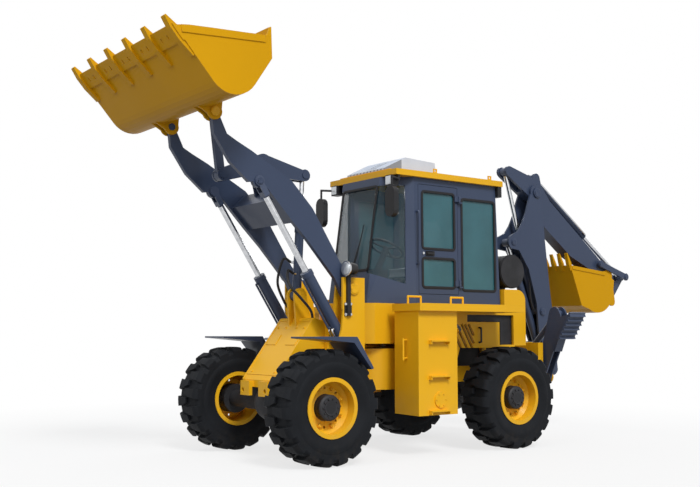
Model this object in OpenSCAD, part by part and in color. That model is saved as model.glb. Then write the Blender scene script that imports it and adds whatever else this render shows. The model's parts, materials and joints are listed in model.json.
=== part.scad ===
// Articulated backhoe loader: a front loader on a hinged front frame, a cab and engine
// on the rear frame, and a digging arm on a swing post between two stabiliser legs.
// +X is forward, +Y is the left side, +Z is up. The origin is on the ground, under the
// hinge between the two frames, half way between the axles. Millimetres.

/* [Wheels] */
// Distance between the front and rear axles
wheelbase = 2430; // [2400:10:2460]
// Distance between the tyre centres on one axle
track = 1700; // [1690:10:1740]
// Outer diameter of a tyre, over its lugs
tyre_d = 1075; // [1040:5:1090]
// Width of a tyre
tyre_w = 400; // [360:10:410]
// Diameter of the rim's bead seat
bead_d = 508; // [480:4:530]
// Radius of the axle tubes
axle_r = 90; // [80:5:105]

/* [Loader] */
// Width of the loader bucket
bucket_w = 2120; // [2000:10:2200]
// Wall of the loader bucket
bucket_wall = 18; // [14:1:24]
// Number of teeth on the loader bucket
bucket_teeth = 6; // [5:1:8]
// Thickness of a loader arm
arm_t = 50; // [40:2:52]
// Distance of a loader arm from the middle plane
arm_y = 440; // [436:1:444]
// Radius of the pins that carry the loader arms
arm_pin_r = 45; // [36:1:50]
// Radius of the pins that carry the loader bucket
bucket_pin_r = 35; // [28:1:42]
// Outer radius of the loader's cylinders
lift_r = 56; // [48:1:60]
// Radius of the loader cylinders' rods
lift_rod_r = 30; // [24:1:36]

/* [Backhoe] */
// Gap between the two side plates of the boom
boom_gap = 180; // [174:2:190]
// Thickness of a boom side plate
boom_t = 25; // [18:1:30]
// Width of the digging bucket
digger_w = 540; // [500:10:580]
// Wall of the digging bucket
digger_wall = 16; // [12:1:20]
// Number of teeth on the digging bucket
digger_teeth = 5; // [3:1:6]
// Radius of the backhoe's main pins
dig_pin_r = 40; // [32:1:44]
// Outer radius of the backhoe cylinders
dig_r = 46; // [40:1:48]
// Radius of the backhoe cylinders' rods
dig_rod_r = 28; // [22:1:32]

/* [Cab] */
// Thickness of the cab's posts and panels
cab_wall = 34; // [28:1:44]
// Thickness of the window panes
pane_t = 6; // [4:1:10]
// Height of the air conditioner on the roof
unit_h = 165; // [120:5:200]

/* [Hidden] */
$fn = 48;

// Colours
yellow = "#f2b010";
gunmetal = "#3a4658";
black = "#17181a";
steel = "#c8ccd0";

// Clearances: a turning pin in its bore, a rod in its gland, a tyre on its rim,
// and a moving plate beside another
pin_play = 0.05;
rod_play = 0.3;
seat_gap = 0.3;
side_gap = 5;

// Joint centres of the loader, [x, z]
arm_pivot = [610, 1660];
bucket_hinge = [2176, 3258];
lift_base = [590, 1010];
lift_eye = [1679, 2658];
crank_pivot = [1380, 2900];
crank_low = [1839, 2758];
crank_top = [879, 2840];
link_eye = [1932, 3435];
tilt_base = [940, 1600];

// Joint centres of the backhoe, [x, z]
swing_x = -2480;
boom_foot = [-2760, 800];
boom_tip = [-2520, 2940];
boom_ram_base = [-2640, 1010];
boom_ram_eye = [-2110, 2310];
stick_ram_base = [-2590, 1480];
stick_tail = [-2090, 3175];
curl_base = [-2560, 3130];
digger_hinge = [-3870, 1970];
digger_link = [-3930, 1630];
rocker_pin = [-3700, 2110];
rocker_tip = [-4204, 1959];

// Joint centres of a stabiliser leg, [y, z]
beam_x = -2010;
leg_back = 90;
leg_x = beam_x - leg_back;
leg_pivot = [560, 720];
leg_ram_base = [300, 960];
leg_ram_eye = [790, 1440];

// Lengths of the cylinder barrels from their base pin to their open end: the distance
// between the cylinder's pins, less the stretch of rod that shows
lift_barrel = span(lift_base, lift_eye) - 1010;
tilt_barrel_len = span(tilt_base, crank_top) - 541;
boom_barrel_len = span(boom_ram_base, boom_ram_eye) - 164;
stick_barrel_len = span(stick_ram_base, stick_tail) - 867;
curl_barrel_len = span(curl_base, rocker_tip) - 868;
leg_barrel_len = span(leg_ram_base, leg_ram_eye) - 126;

// Frames
axle_x = wheelbase / 2;
axle_z = tyre_d / 2;
pivot_pin_r = 50;
plate_t = 25;
tower_gap = 9;
tower_in = arm_y - lift_r - tower_gap - plate_t;
tower_out = arm_y + lift_r + tower_gap;
drum_r = 430;

// Deck over the tanks: underside, thickness and outer edge
deck_z = 1440;
deck_t = 75;
deck_y = 1050;

// Cab corners in plan, at its floor and under its roof, [x, y]
floor_z = deck_z + deck_t + 12;
eaves_z = 2862;
cab_floor_plan = [[300, 340], [-190, 555], [-1420, 555], [-1420, -555], [-190, -555], [300, -340]];
cab_eaves_plan = [[110, 330], [-170, 545], [-1370, 545], [-1370, -545], [-170, -545], [110, -330]];
door_hinge = [-800, 570];
knuckle_z = [1720, 2640];
knuckle_h = 60;
hinge_pin_r = 8;

// Points on an arc, from angle a to angle b
function arc(c, r, a, b, n = 12)
    = [for (i = [0 : n]) c + r * [cos(a + (b - a) * i / n), sin(a + (b - a) * i / n)]];
function span(p, q) = norm(q - p);
// Angle of the line from p to q, measured from the second axis towards the first
function lean(p, q) = atan2(q[0] - p[0], q[1] - p[1]);

// A plate with its outline in the X-Z plane, from y to y + t
module side_plate(outline, y, t) {
    translate([0, y + t, 0]) rotate([90, 0, 0]) linear_extrude(t) polygon(outline);
}

// A round bar or bore across the machine at [x, z], from y0 to y1
module cross_bar(at, r, y0, y1) {
    translate([at[0], y0, at[1]]) rotate([-90, 0, 0]) cylinder(r = r, h = y1 - y0);
}

module both_sides() {
    children();
    mirror([0, 1, 0]) children();
}

// Things drawn up the Z axis, laid along the line from p to q in the X-Z plane
module along_xz(p, q, y = 0) {
    translate([p[0], y, p[1]]) rotate([0, lean(p, q), 0]) children();
}

// The same for a line in the Y-Z plane
module along_yz(p, q, x) {
    translate([x, p[0], p[1]]) rotate([-lean(p, q), 0, 0]) rotate([0, 0, 90]) children();
}

// A cylinder's barrel: its eye turns on the base pin, its bore is open at the far end
module barrel(len, r, rod_r, pin_r, eye_w) {
    eye_r = pin_r + 20;
    bore_r = r - 9;
    neck = 60;
    color(gunmetal) difference() {
        union() {
            rotate([90, 0, 0]) cylinder(r = eye_r, h = eye_w, center = true);
            translate([0, 0, pin_r + 4]) cylinder(r = r * 0.8, h = neck);
            translate([0, 0, eye_r]) cylinder(r = r, h = len - eye_r);
            translate([0, 0, len - 50]) cylinder(r = r + 6, h = 50);
        }
        rotate([90, 0, 0]) cylinder(r = pin_r + pin_play, h = eye_w + 2, center = true);
        translate([0, 0, neck]) cylinder(r = bore_r, h = len - neck - 40);
        translate([0, 0, neck]) cylinder(r = rod_r + rod_play, h = len);
    }
}

// A cylinder's rod with a plain eye at its end
module rod(len, barrel_len, rod_r, eye_r, eye_w, inside = 90) {
    color(steel) union() {
        translate([0, 0, barrel_len - inside])
            cylinder(r = rod_r, h = len - barrel_len + inside - eye_r * 0.5);
        translate([0, 0, len]) rotate([90, 0, 0]) cylinder(r = eye_r, h = eye_w, center = true);
    }
}

// A cylinder's rod with a fork that stands astride a lug of the width given
module forked_rod(len, barrel_len, rod_r, eye_r, lug_w, cheek_t, reach, inside = 90) {
    outer = lug_w / 2 + side_gap + cheek_t;
    color(steel) union() {
        translate([0, 0, barrel_len - inside])
            cylinder(r = rod_r, h = len - barrel_len + inside - reach);
        translate([-rod_r, -outer, len - reach - 40]) cube([2 * rod_r, 2 * outer, 50]);
        for (s = [-1, 1]) {
            translate([0, s * (outer - cheek_t / 2), len]) rotate([90, 0, 0])
                cylinder(r = eye_r, h = cheek_t, center = true);
            translate([-rod_r, s * (outer - cheek_t / 2) - cheek_t / 2, len - reach])
                cube([2 * rod_r, cheek_t, reach]);
        }
    }
}

// Wheels: a carcass with raised lugs, which lie across the crown in two staggered rows
lug_h = 34;
lug_count = 18;
function tyre_outline(crown) = let (half = tyre_w / 2, bead = bead_d / 2 + seat_gap) concat(
    [[bead, -half * 0.8], [bead + 26, -half * 0.86]],
    arc([bead + 130, -half * 0.5], half * 0.5, 250, 290, 5),
    arc([crown - 62, -half + 62], 60, 290, 350, 4),
    [[crown, -half * 0.4], [crown, half * 0.4]],
    arc([crown - 62, half - 62], 60, 10, 70, 4),
    arc([bead + 130, half * 0.5], half * 0.5, 70, 110, 5),
    [[bead + 26, half * 0.86], [bead, half * 0.8]]);
module tyre() {
    crown = tyre_d / 2;
    color(black) rotate([-90, 0, 0]) union() {
        rotate_extrude($fn = 96) polygon(tyre_outline(crown - lug_h));
        intersection() {
            rotate_extrude($fn = 96) polygon(tyre_outline(crown));
            for (i = [0 : lug_count - 1], row = [0, 1])
                rotate([0, 0, (i + row / 2) * 360 / lug_count]) mirror([0, 0, row]) lug(crown);
        }
    }
}
// One lug: broad at the shoulder and swept back from the middle of the tread
module lug(crown) {
    translate([crown - 130, 0, 0]) rotate([90, 0, 90]) linear_extrude(140)
        polygon([[-22, -14], [34, -14], [62, 60], [78, tyre_w / 2 + 2], [-30, tyre_w / 2 + 2], [-20, 70]]);
}

// The rim's disc is dished, with the hub's drum in front of it on the outer side
disc_in = 18;
hub_r = 118;
module rim() {
    half = tyre_w / 2;
    seat = bead_d / 2;
    inner = seat - 14;
    flange = seat + 25;
    color(yellow) difference() {
        rotate([-90, 0, 0]) rotate_extrude($fn = 96) polygon([
            [inner, -half * 0.9], [flange, -half * 0.9], [flange, -half * 0.86], [seat, -half * 0.8],
            [seat, half * 0.8], [flange, half * 0.86], [flange, half * 0.9], [inner, half * 0.9],
            [inner, disc_in + 60], [inner - 40, disc_in + 22], [hub_r + 30, disc_in + 22],
            [hub_r, disc_in + 30], [hub_r, disc_in + 105], [hub_r - 22, disc_in + 120],
            [60, disc_in + 120], [56, disc_in + 128], [0, disc_in + 128],
            [0, disc_in], [inner - 34, disc_in], [inner, disc_in + 36]]);
        for (a = [0 : 45 : 315])
            rotate([0, a, 0]) translate([hub_r + 62, disc_in - 1, 0]) rotate([-90, 0, 0])
                cylinder(r = 13, h = 24);
    }
}

module wheel_at(x, side) {
    translate([x, side * track / 2, axle_z]) if (side > 0) children(); else mirror([0, 1, 0]) children();
}

// An axle housing with its round middle and the flanged ends that the wheels turn on
module axle(x) {
    end = track / 2 + disc_in - seat_gap;
    color(black) translate([x, 0, axle_z]) difference() {
        union() {
            rotate([90, 0, 0]) cylinder(r = axle_r, h = 2 * end, center = true);
            sphere(r = 185);
            both_sides() translate([0, end - 150, 0]) rotate([-90, 0, 0]) cylinder(r = 150, h = 150);
            translate([-70, -330, 0]) cube([140, 660, 150]);
        }
        translate([-300, -300, 150]) cube([600, 600, 300]);
    }
}

// Front frame: the hinge plates, a sloped nose and the two towers that carry the arms
tower_z = 1772;
nose_y = 305;
pad_z = axle_z + 150;
nose_top = [930, 1370];
nose_low = [1385, pad_z + 72];
module front_frame() {
    tower = concat(arc(arm_pivot, 115, 150, 30, 6),
        [[755, 1250], [830, 1000], [830, 620], [470, 620], [470, 1400]]);
    cover = [[780, 1330], nose_top, nose_low, [nose_low[0], pad_z], [nose_low[0] - 25, pad_z],
        nose_low + [-25, -8], nose_top + [-12, -30], [780, 1302]];
    nose = [[780, pad_z], [780, 1330], nose_top, nose_low, [nose_low[0], pad_z]];
    color(yellow) difference() {
        union() {
            both_sides() {
                side_plate(tower, tower_in, plate_t);
                side_plate(tower, tower_out, plate_t);
                side_plate([[470, 1450], [470, tower_z], [742, tower_z], [742, 1450]], tower_out, plate_t);
                side_plate(nose, nose_y - plate_t, plate_t);
                side_plate([[470, 620], [470, 720], [830, 720], [830, 620]], nose_y - plate_t,
                    tower_out + 2 * plate_t - nose_y);
                side_plate([[780, 620], [780, 840], [830, 840], [830, 620]], nose_y - plate_t,
                    tower_out + 2 * plate_t - nose_y);
                side_plate([[780, 800], [780, 1300], [800, 1300], [800, 800]], nose_y - plate_t,
                    tower_in - nose_y + 2 * plate_t);
                side_plate([[800, 1320], [930, 1360], [990, 1290], [1015, 1600], [870, 1625],
                    [840, 1450]], 50, plate_t);
                cross_bar(tilt_base, 75, 50, 50 + plate_t);
                cross_bar(arm_pivot, arm_pin_r, tower_in, tower_out + plate_t + 12);
                cross_bar(lift_base, arm_pin_r - 10, tower_in, tower_out + plate_t + 8);
            }
            cross_bar(tilt_base, arm_pin_r - 10, -80, 80);
            side_plate(cover, -nose_y, 2 * nose_y);
            side_plate([[780, 640], [780, 1330], [800, 1330], [800, 640]], -nose_y, 2 * nose_y);
            along_xz(nose_low, nose_top) {
                both_sides() translate([0, 95, 425]) cube([6, 170, 125]);
                for (z = [60, span(nose_low, nose_top) - 40]) translate([0, -nose_y, z])
                    cube([5, 2 * nose_y, 28]);
                both_sides() translate([0, nose_y - 24, 0]) cube([5, 24, span(nose_low, nose_top) - 12]);
            }
            both_sides() difference() {
                translate([nose_low[0] - 5, 88, pad_z - 82]) cube([60, 165, 145]);
                translate([nose_low[0] - 6, 86, pad_z - 83]) cube([23, 170, 85]);
                translate([nose_low[0] + 10, 205, pad_z - 30]) rotate([0, 90, 0]) cylinder(r = 22, h = 60);
            }
            for (z = [598, 1072]) hinge_plate(z);
        }
        translate([0, 0, 500]) cylinder(r = pivot_pin_r + pin_play, h = 700);
    }
}

// A flat plate from the nose to the hinge axis
module hinge_plate(z) {
    translate([0, 0, z]) linear_extrude(30) polygon(concat(
        arc([0, 0], 125, 100, 260, 10), [[480, -360], [800, -360], [800, 360], [480, 360]]));
}

// Front mudguards, flat on top and folded down behind the wheels
fender_y = 640;
fender_w = 400;
fender_gap = 111;
fender_z = axle_z + tyre_d / 2 + fender_gap;
// A point beside the front tyre, at an angle and a distance from its tread
function over_tyre(gap, a) = [axle_x, axle_z] + (tyre_d / 2 + gap) * [cos(a), sin(a)];
module front_fenders() {
    fold = [over_tyre(fender_gap, 90)[0] - tyre_d / 4, fender_z];
    tail = over_tyre(46, 142.8);
    color(gunmetal) both_sides() {
        side_plate([[axle_x + 210, fender_z], fold, tail, tail + [25, -10], fold + [35, -56],
            [axle_x + 210, fender_z - 16]], fender_y, fender_w);
        side_plate([[760, fender_z - 56], [760, fender_z - 16], [900, fender_z - 16], [945, fender_z - 36]],
            tower_out + plate_t, fender_y - tower_out - plate_t + 20);
    }
}

// Headlamps on posts beside the towers
lamp_y = 566;
module headlamps() {
    post_y = tower_out + plate_t;
    color(black) both_sides() {
        translate([640, post_y, 1390]) cube([85, 12, 130]);
        translate([664, post_y, 1390]) cube([40, 30, 410]);
        translate([620, post_y, 1780]) cube([90, lamp_y - post_y + 50, 14]);
        translate([610, lamp_y, 1784 + 72]) rotate([0, 90, 0]) cylinder(r1 = 50, r2 = 72, h = 110);
    }
}

// Loader arms: two cranked plates, a box beam between them and the crank's brackets
function arm_point(s, n) = arm_pivot + s * [0.7071, 0.7071] + n * [-0.7071, 0.7071];
module loader_arms() {
    arm = concat(
        arc(arm_pivot, 110, 320, 142, 8),
        [[728, 1926], [1062, 2440], [1307, 2690], [1763, 2938], [1923, 3012], [2031, 3069]],
        arc(bucket_hinge, 48, 170, -70, 8),
        [[2182, 3170], [2168, 3060], [1992, 2808], [1789, 2640]],
        arc(lift_eye, 66, -10, -150, 6),
        [[1590, 2600], [1305, 2304], [1116, 2119], [793, 1763]]);
    beam = [arm_point(900, -5), arm_point(900, 190), arm_point(1200, 190), arm_point(1200, -5)];
    beam_in = [arm_point(925, 20), arm_point(925, 165), arm_point(1175, 165), arm_point(1175, 20)];
    bracket = concat([arm_point(1180, 100), arm_point(1000, 185), arm_point(1080, 260)],
        arc(crank_pivot, 78, 160, -20, 6));
    color(gunmetal) difference() {
        union() {
            both_sides() {
                side_plate(arm, arm_y - arm_t / 2, arm_t);
                side_plate(bracket, 85, plate_t);
                cross_bar(arm_pivot, 90, tower_in + plate_t + side_gap, tower_out - side_gap);
            }
            difference() {
                side_plate(beam, -arm_y, 2 * arm_y);
                side_plate(beam_in, -arm_y - 60, 2 * arm_y + 120);
            }
        }
        cross_bar(arm_pivot, arm_pin_r + pin_play, -arm_y - 100, arm_y + 100);
        cross_bar(bucket_hinge, bucket_pin_r + pin_play, -arm_y - 100, arm_y + 100);
        cross_bar(crank_pivot, crank_pin_r + pin_play, -200, 200);
    }
}

// Loader bucket, drawn with its floor level and its hinge at the origin, then rolled back
bucket_roll = 48.4;
floor_h = -170;
tip_x = 870;
heel_r = 260;
heel = [300, floor_h + heel_r];
back_a = 165;
back_len = 320;
function back_dir(a) = [cos(a - 90), sin(a - 90)];
function bucket_line(t) = concat(
    [[tip_x, floor_h + t]],
    arc(heel, heel_r - t, 270, back_a, 10),
    [heel + (heel_r - t) * [cos(back_a), sin(back_a)] + back_len * back_dir(back_a),
        [355, 648] + t * [0.63, -0.77]]);
ear_t = 22;
lug_in = 36;
module loader_bucket() {
    half = bucket_w / 2;
    ear_y = arm_t / 2 + side_gap;
    shell = bucket_line(0);
    color(yellow) translate([bucket_hinge[0], 0, bucket_hinge[1]]) rotate([0, -bucket_roll, 0])
        difference() {
        union() {
            difference() {
                side_plate(shell, -half, bucket_w);
                side_plate(concat(bucket_line(bucket_wall),
                    [[420, 760], [1100, 760], [1100, floor_h + bucket_wall]]),
                    -half + bucket_wall, bucket_w - 2 * bucket_wall);
            }
            translate([tip_x - 150, -half, floor_h - 14]) cube([170, bucket_w, 16]);
            both_sides() side_plate([lip(60, 62), lip(60, 0), lip(160, 2), lip(890, 78), lip(880, 140)],
                half - 1, 9);
            for (i = [0 : bucket_teeth - 1])
                translate([tip_x - 110, -half + 45 + i * (bucket_w - 90) / (bucket_teeth - 1), floor_h])
                    bucket_tooth();
            both_sides() for (y = [arm_y - ear_y - ear_t, arm_y + ear_y])
                side_plate(concat(arc([0, 0], 78, 110, 290, 8), arc(heel, heel_r - 9, 240, 163, 6)), y,
                    ear_t);
            both_sides() side_plate(concat(arc(bucket_local(link_eye), 65, 70, 260, 6),
                [[52, 120], [58, 157], [128, 420], [122, 424]]), lug_in, ear_t);
        }
        cross_bar([0, 0], bucket_pin_r + pin_play, -arm_y - 100, arm_y + 100);
        cross_bar(bucket_local(link_eye), link_pin_r + pin_play, -200, 200);
        both_sides() side_plate([lip(120, 0), lip(905, 75), lip(952, 2), lip(952, -90), lip(120, -90)],
            half - bucket_wall - 1, bucket_wall + 20);
        for (i = [0.5 : 1 : bucket_teeth - 1], e = [-60, 60])
            translate([tip_x - 90, -half + 45 + i * (bucket_w - 90) / (bucket_teeth - 1) + e - 9,
                floor_h - 20])
                cube([40, 18, 12]);
    }
}
// A point of a side plate: a distance up its open edge from the lip, and a depth below that edge
function lip(up, down) = let (e = ([355, 648] - [tip_x, floor_h]) / norm([355, 648] - [tip_x, floor_h]))
    [tip_x, floor_h] + up * e + down * [-e[1], e[0]];
// A point of the machine in the bucket's own level frame
function bucket_local(p) = let (d = p - bucket_hinge)
    [d[0] * cos(bucket_roll) + d[1] * sin(bucket_roll), -d[0] * sin(bucket_roll) + d[1] * cos(bucket_roll)];

// A tooth: a wedge on a clamp that lies on the cutting edge
module bucket_tooth() {
    translate([0, 36, 0]) rotate([90, 0, 0]) linear_extrude(72)
        polygon([[-190, -16], [-190, 4], [0, 4], [0, 26], [70, 34], [220, -6], [218, -22], [110, -40],
            [-20, -40]]);
}

module bucket_pins() {
    color(steel) both_sides() cross_bar(bucket_hinge, bucket_pin_r, arm_y - 62, arm_y + 62);
}

// Crank of the tilt linkage: two plates on a hub
crank_pin_r = 40;
crank_in = 35;
module bellcrank() {
    outline = concat(arc(crank_top, 62, 60, 280, 8), [crank_pivot + [-150, -115]],
        arc(crank_pivot, 95, 250, 290, 3), arc(crank_low, 62, -110, 70, 8),
        arc(crank_pivot, 110, 60, 120, 5));
    color(gunmetal) difference() {
        union() {
            both_sides() side_plate(outline, crank_in, plate_t);
            both_sides() cross_bar(crank_pivot, 80, crank_in, 80);
            side_plate([[1110, 2825], [1220, 2835], [1220, 2945], [1110, 2925]], -crank_in - 5,
                2 * crank_in + 10);
            both_sides() for (p = [crank_top, crank_low])
                cross_bar(p, 36, crank_in + plate_t, crank_in + plate_t + 10);
        }
        cross_bar(crank_pivot, crank_pin_r + pin_play, -100, 100);
    }
}

module bellcrank_pin() {
    color(steel) cross_bar(crank_pivot, crank_pin_r, -125, 125);
}

link_pin_r = 30;
module bucket_link() {
    reach = span(link_eye, crank_low);
    color(gunmetal) along_xz(link_eye, crank_low) difference() {
        union() {
            for (z = [0, reach]) translate([0, 0, z]) rotate([90, 0, 0])
                cylinder(r = 58, h = 60, center = true);
            translate([-42, -25, 0]) cube([84, 50, reach]);
        }
        rotate([90, 0, 0]) cylinder(r = link_pin_r + pin_play, h = 100, center = true);
    }
}

module link_pin() {
    color(steel) cross_bar(link_eye, link_pin_r, -70, 70);
}

// Lift and tilt cylinders
tilt_r = 46;
module lift_barrels() {
    both_sides() along_xz(lift_base, lift_eye, arm_y)
        barrel(lift_barrel, lift_r, lift_rod_r, arm_pin_r - 10, 60);
}

module lift_rods() {
    both_sides() along_xz(lift_base, lift_eye, arm_y)
        forked_rod(span(lift_base, lift_eye), lift_barrel, lift_rod_r, 50, arm_t, 14, 120, 60);
}

module tilt_barrel() {
    along_xz(tilt_base, crank_top) barrel(tilt_barrel_len, tilt_r, lift_rod_r - 4, arm_pin_r - 10, 88);
}

module tilt_rod() {
    along_xz(tilt_base, crank_top)
        rod(span(tilt_base, crank_top), tilt_barrel_len, lift_rod_r - 4, 52, 2 * crank_in - 2 * side_gap);
}

// Rear frame: a round hinge column, two rails and the beam that carries legs and backhoe
module rear_frame() {
    color(yellow) difference() {
        union() {
            translate([0, 0, 640]) cylinder(r = drum_r, h = 420, $fn = 96);
            translate([0, 0, 560]) cylinder(r = pivot_pin_r, h = 580);
            translate([-450, -330, 640]) cube([270, 660, floor_z - 640]);
            translate([0, 0, 1112]) linear_extrude(floor_z - 1112) polygon(concat(
                [[-450, -460]], arc([0, 0], 540, -58, 58, 10), [[-450, 460]]));
            both_sides() {
                translate([beam_x + 20, 300, pad_z]) cube([-beam_x - 220, 40, 170]);
                side_plate([[-300, 1420], [-300, floor_z], [-1400, floor_z], [-1400, 1420]], 300, 40);
                translate([-1400, 300, 840]) cube([60, 40, 600]);
                translate([-460, 300, 840]) cube([60, 40, 600]);
                translate([-380, 320, 700]) cube([120, 240, 60]);
                leg_bracket();
            }
            translate([beam_x, -640, 560]) cube([80, 1280, 550]);
            for (z = [570, 1080]) translate([0, 0, z]) linear_extrude(30) polygon(concat(
                arc([swing_x, 0], 58, 90, 270, 10), [[swing_x + 80, -64], [beam_x + 10, -260],
                    [beam_x + 10, 260], [swing_x + 80, 64]]));
        }
        translate([swing_x, 0, 500]) cylinder(r = swing_pin_r + pin_play, h = 700);
    }
}

// Cheeks for a leg's pivot pin and lugs for its cylinder, behind the beam
leg_half = 62;
leg_t = 20;
module leg_bracket() {
    for (x = [leg_x - leg_half - side_gap - 20, leg_x + leg_half + side_gap])
        translate([x, 0, 0]) rotate([90, 0, 90]) linear_extrude(20)
            polygon(concat([[420, 600], [420, 800]], arc(leg_pivot, 75, 90, -90, 8)));
    translate([leg_x - leg_half - side_gap - 20, 400, 600])
        cube([beam_x - leg_x + leg_half + side_gap + 30, 60, 155]);
    for (x = [leg_x - leg_half - side_gap - 20, leg_x + leg_half - leg_t])
        translate([x, leg_pivot[0], leg_pivot[1]]) rotate([0, 90, 0])
            cylinder(r = leg_pin_r, h = leg_t + side_gap + 20);
    translate([leg_x - 60, 180, 830]) cube([beam_x - leg_x + 70, 160, 30]);
    for (x = [leg_x - 60, leg_x + 40]) translate([x, 0, 0]) rotate([90, 0, 90]) linear_extrude(20)
        polygon(concat([[220, 840]], arc(leg_ram_base, 55, 170, 10, 6), [[340, 840]]));
    translate([leg_x - 60, leg_ram_base[0], leg_ram_base[1]]) rotate([0, 90, 0])
        cylinder(r = leg_pin_r, h = 120);
}

// Engine block inside the hood, the boxes behind the side openings, and a drum over the hood
cleaner = [-1640, 1916];
cleaner_r = 185;
engine_x = [-1740, -920];
module engine() {
    len = engine_x[1] - engine_x[0];
    color(black) {
        translate([engine_x[0], -300, pad_z + 12]) cube([len, 600, 670]);
        both_sides() {
            translate([-1575, 290, 1086]) cube([170, side_y - 325, 340]);
            translate([-1575, 420, 1345]) cube([695, side_y - 455, 72]);
        }
        cross_bar(cleaner, cleaner_r, -480, 540);
        for (y = [-470, 510]) cross_bar(cleaner, cleaner_r + 8, y, y + 20);
        for (y = [-300, 300]) translate([cleaner[0] - 60, y, hood_z]) cube([120, 60, 60]);
    }
}

// Hood: a rounded box behind the cab, and side panels with slanted slots and an opening
hood_z = 1705;
hood_x = -1775;
side_y = 600;
hood_t = 30;
post_x = -1585;
module hood() {
    color(yellow) difference() {
        union() {
            side_plate(concat([[-1440, deck_z], [-1440, hood_z]],
                arc([hood_x + 120, hood_z - 120], 120, 90, 180, 6),
                [[hood_x, 1080], [post_x, 1080], [post_x, deck_z]]), -side_y, 2 * side_y);
            both_sides() side_plate([[-470, 780], [-470, deck_z], [post_x - 10, deck_z],
                [post_x - 10, 1060], [-760, 1060], [-660, 780]],
                side_y - hood_t, hood_t);
        }
        side_plate([[-1480, deck_z - 40], [-1480, hood_z - hood_t], [hood_x + 100, hood_z - hood_t],
            [hood_x + hood_t, hood_z - 130], [hood_x + hood_t, 1000], [post_x + 10, 1000],
                [post_x + 10, deck_z - 40]],
            -side_y + hood_t, 2 * (side_y - hood_t));
        both_sides() {
            for (q = [[-815, 1030, 330], [-900, 1030, 345], [-980, 1030, 345], [-980, 1115, 245],
                [-980, 1200, 145]])
                translate([q[0], side_y - 50, q[1]]) rotate([0, 31, 0]) cube([34, 100, q[2]]);
            side_plate([[-1358, 1090], [-1358, 1340], [-870, 1340], [-870, 1418], [-1580, 1418],
                [-1580, 1090]],
                side_y - 50, 100);
        }
    }
}

// Tanks at both sides, between the wheels, with steps, a round cover and a bar on the face
tank_y = [575, 1000];
tank_x = [-350, 165];
module side_tanks() {
    color(yellow) {
        both_sides() {
            translate([0, 0, 410]) linear_extrude(deck_z - 410) polygon([[tank_x[1] - 45, tank_y[0]],
                [tank_x[1], tank_y[1]], [tank_x[0], tank_y[1]], [tank_x[0], tank_y[0]]]);
            for (z = [445, 785, 1135]) {
                translate([-218, tank_y[1] - 5, z]) cube([253, 55, 14]);
                for (x = [-218, 23]) translate([x, tank_y[1] - 5, z - 26]) cube([12, 50, 40]);
            }
            translate([-120, tank_y[1] - 2, 560]) rotate([-90, 0, 0]) {
                cylinder(r = 80, h = 14);
                for (a = [0 : 60 : 300]) rotate([0, 0, a]) translate([62, 0, 12])
                    cylinder(r = 8, h = 9, $fn = 6);
            }
            for (z = [970, 1150]) translate([tank_x[1] - 40, 790, z]) rotate([0, 90, 0])
                cylinder(r = 9, h = 60);
            translate([tank_x[1] + 20, 790, 950]) cylinder(r = 10, h = 220);
            translate([-380, 560, 640]) cube([120, 20, 260]);
        }
        translate([tank_x[0] + 20, 900, 1190]) rotate([0, -50, 0]) {
            cylinder(r = 42, h = 110);
            translate([0, 0, 100]) cylinder(r = 54, h = 34);
        }
    }
}

// Walkways over the tanks and wheels, with grab rails
module platforms() {
    color(yellow) both_sides() {
        translate([0, 0, deck_z]) linear_extrude(deck_t) polygon([[140, 562], [tank_x[1] + 20, deck_y],
            [-1290, deck_y], [-1290, 562]]);
        for (x = [-40, -620]) grab_rail([x, 800], 170, 92);
    }
}

// A bent round bar that stands on the platform
module grab_rail(at, w, h) {
    r = 11;
    translate([at[0], at[1], deck_z + deck_t]) {
        for (x = [0, w]) translate([x, 0, -20]) cylinder(r = r, h = h);
        translate([r, 0, h - 20]) rotate([0, 90, 0]) cylinder(r = r, h = w - 2 * r);
        for (x = [0, w]) translate([x, 0, h - 20]) sphere(r = r);
        translate([0, 0, h - 20]) rotate([0, 90, 0]) cylinder(r = r, h = w);
    }
}

// Cab: a hollow body that narrows to the windscreen, with its windows cut
module cab_volume(inset, over = 0) {
    hull() {
        translate([0, 0, floor_z + inset]) linear_extrude(0.1) offset(delta = -inset)
            polygon(cab_floor_plan);
        translate([0, 0, eaves_z + over - 0.1]) linear_extrude(0.1) offset(delta = -inset)
            polygon(cab_eaves_plan);
    }
}
door_z = [1632, 2790];
door_x = [-786, -232];
module door_cut(grow = 0) {
    translate([door_x[0] - grow, 400, door_z[0] - grow])
        cube([door_x[1] - door_x[0] + 2 * grow, 300, door_z[1] - door_z[0] + 2 * grow]);
}
// One window through a side wall, from x0 to x1 and z0 to z1
module side_window(x0, x1, z0, z1) {
    translate([x0, 400, z0]) cube([x1 - x0, 300, z1 - z0]);
}
module windows() {
    translate([-40, -300, 1870]) cube([400, 600, 900]);
    both_sides() {
        translate([-60, 330, 0]) rotate([0, 0, -23.7])
            side_plate([[-95, 1730], [-95, 2770], [305, 2770], [305, 1840]], -60, 240);
        side_window(-1350, -850, 1680, 2680);
    }
    mirror([0, 1, 0]) side_window(-770, -250, 1680, 2720);
    translate([-1500, -470, 1850]) cube([300, 940, 850]);
}
module cab_frame() {
    color(gunmetal) difference() {
        cab_volume(0);
        cab_volume(cab_wall, 20);
        windows();
        door_cut(side_gap);
    }
    color(gunmetal) for (z = knuckle_z) {
        translate([door_hinge[0] - 30, 530, z - 18]) cube([40, door_hinge[1] - 518, 16]);
        translate([door_hinge[0], door_hinge[1], z - 18]) cylinder(r = hinge_pin_r, h = knuckle_h + 22);
    }
}
module pane_shell() {
    difference() {
        cab_volume(10);
        cab_volume(10 + pane_t, 20);
    }
}
module cab_glass() {
    color([0.3, 0.45, 0.5, 0.5]) intersection() {
        pane_shell();
        windows();
    }
}
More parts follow.
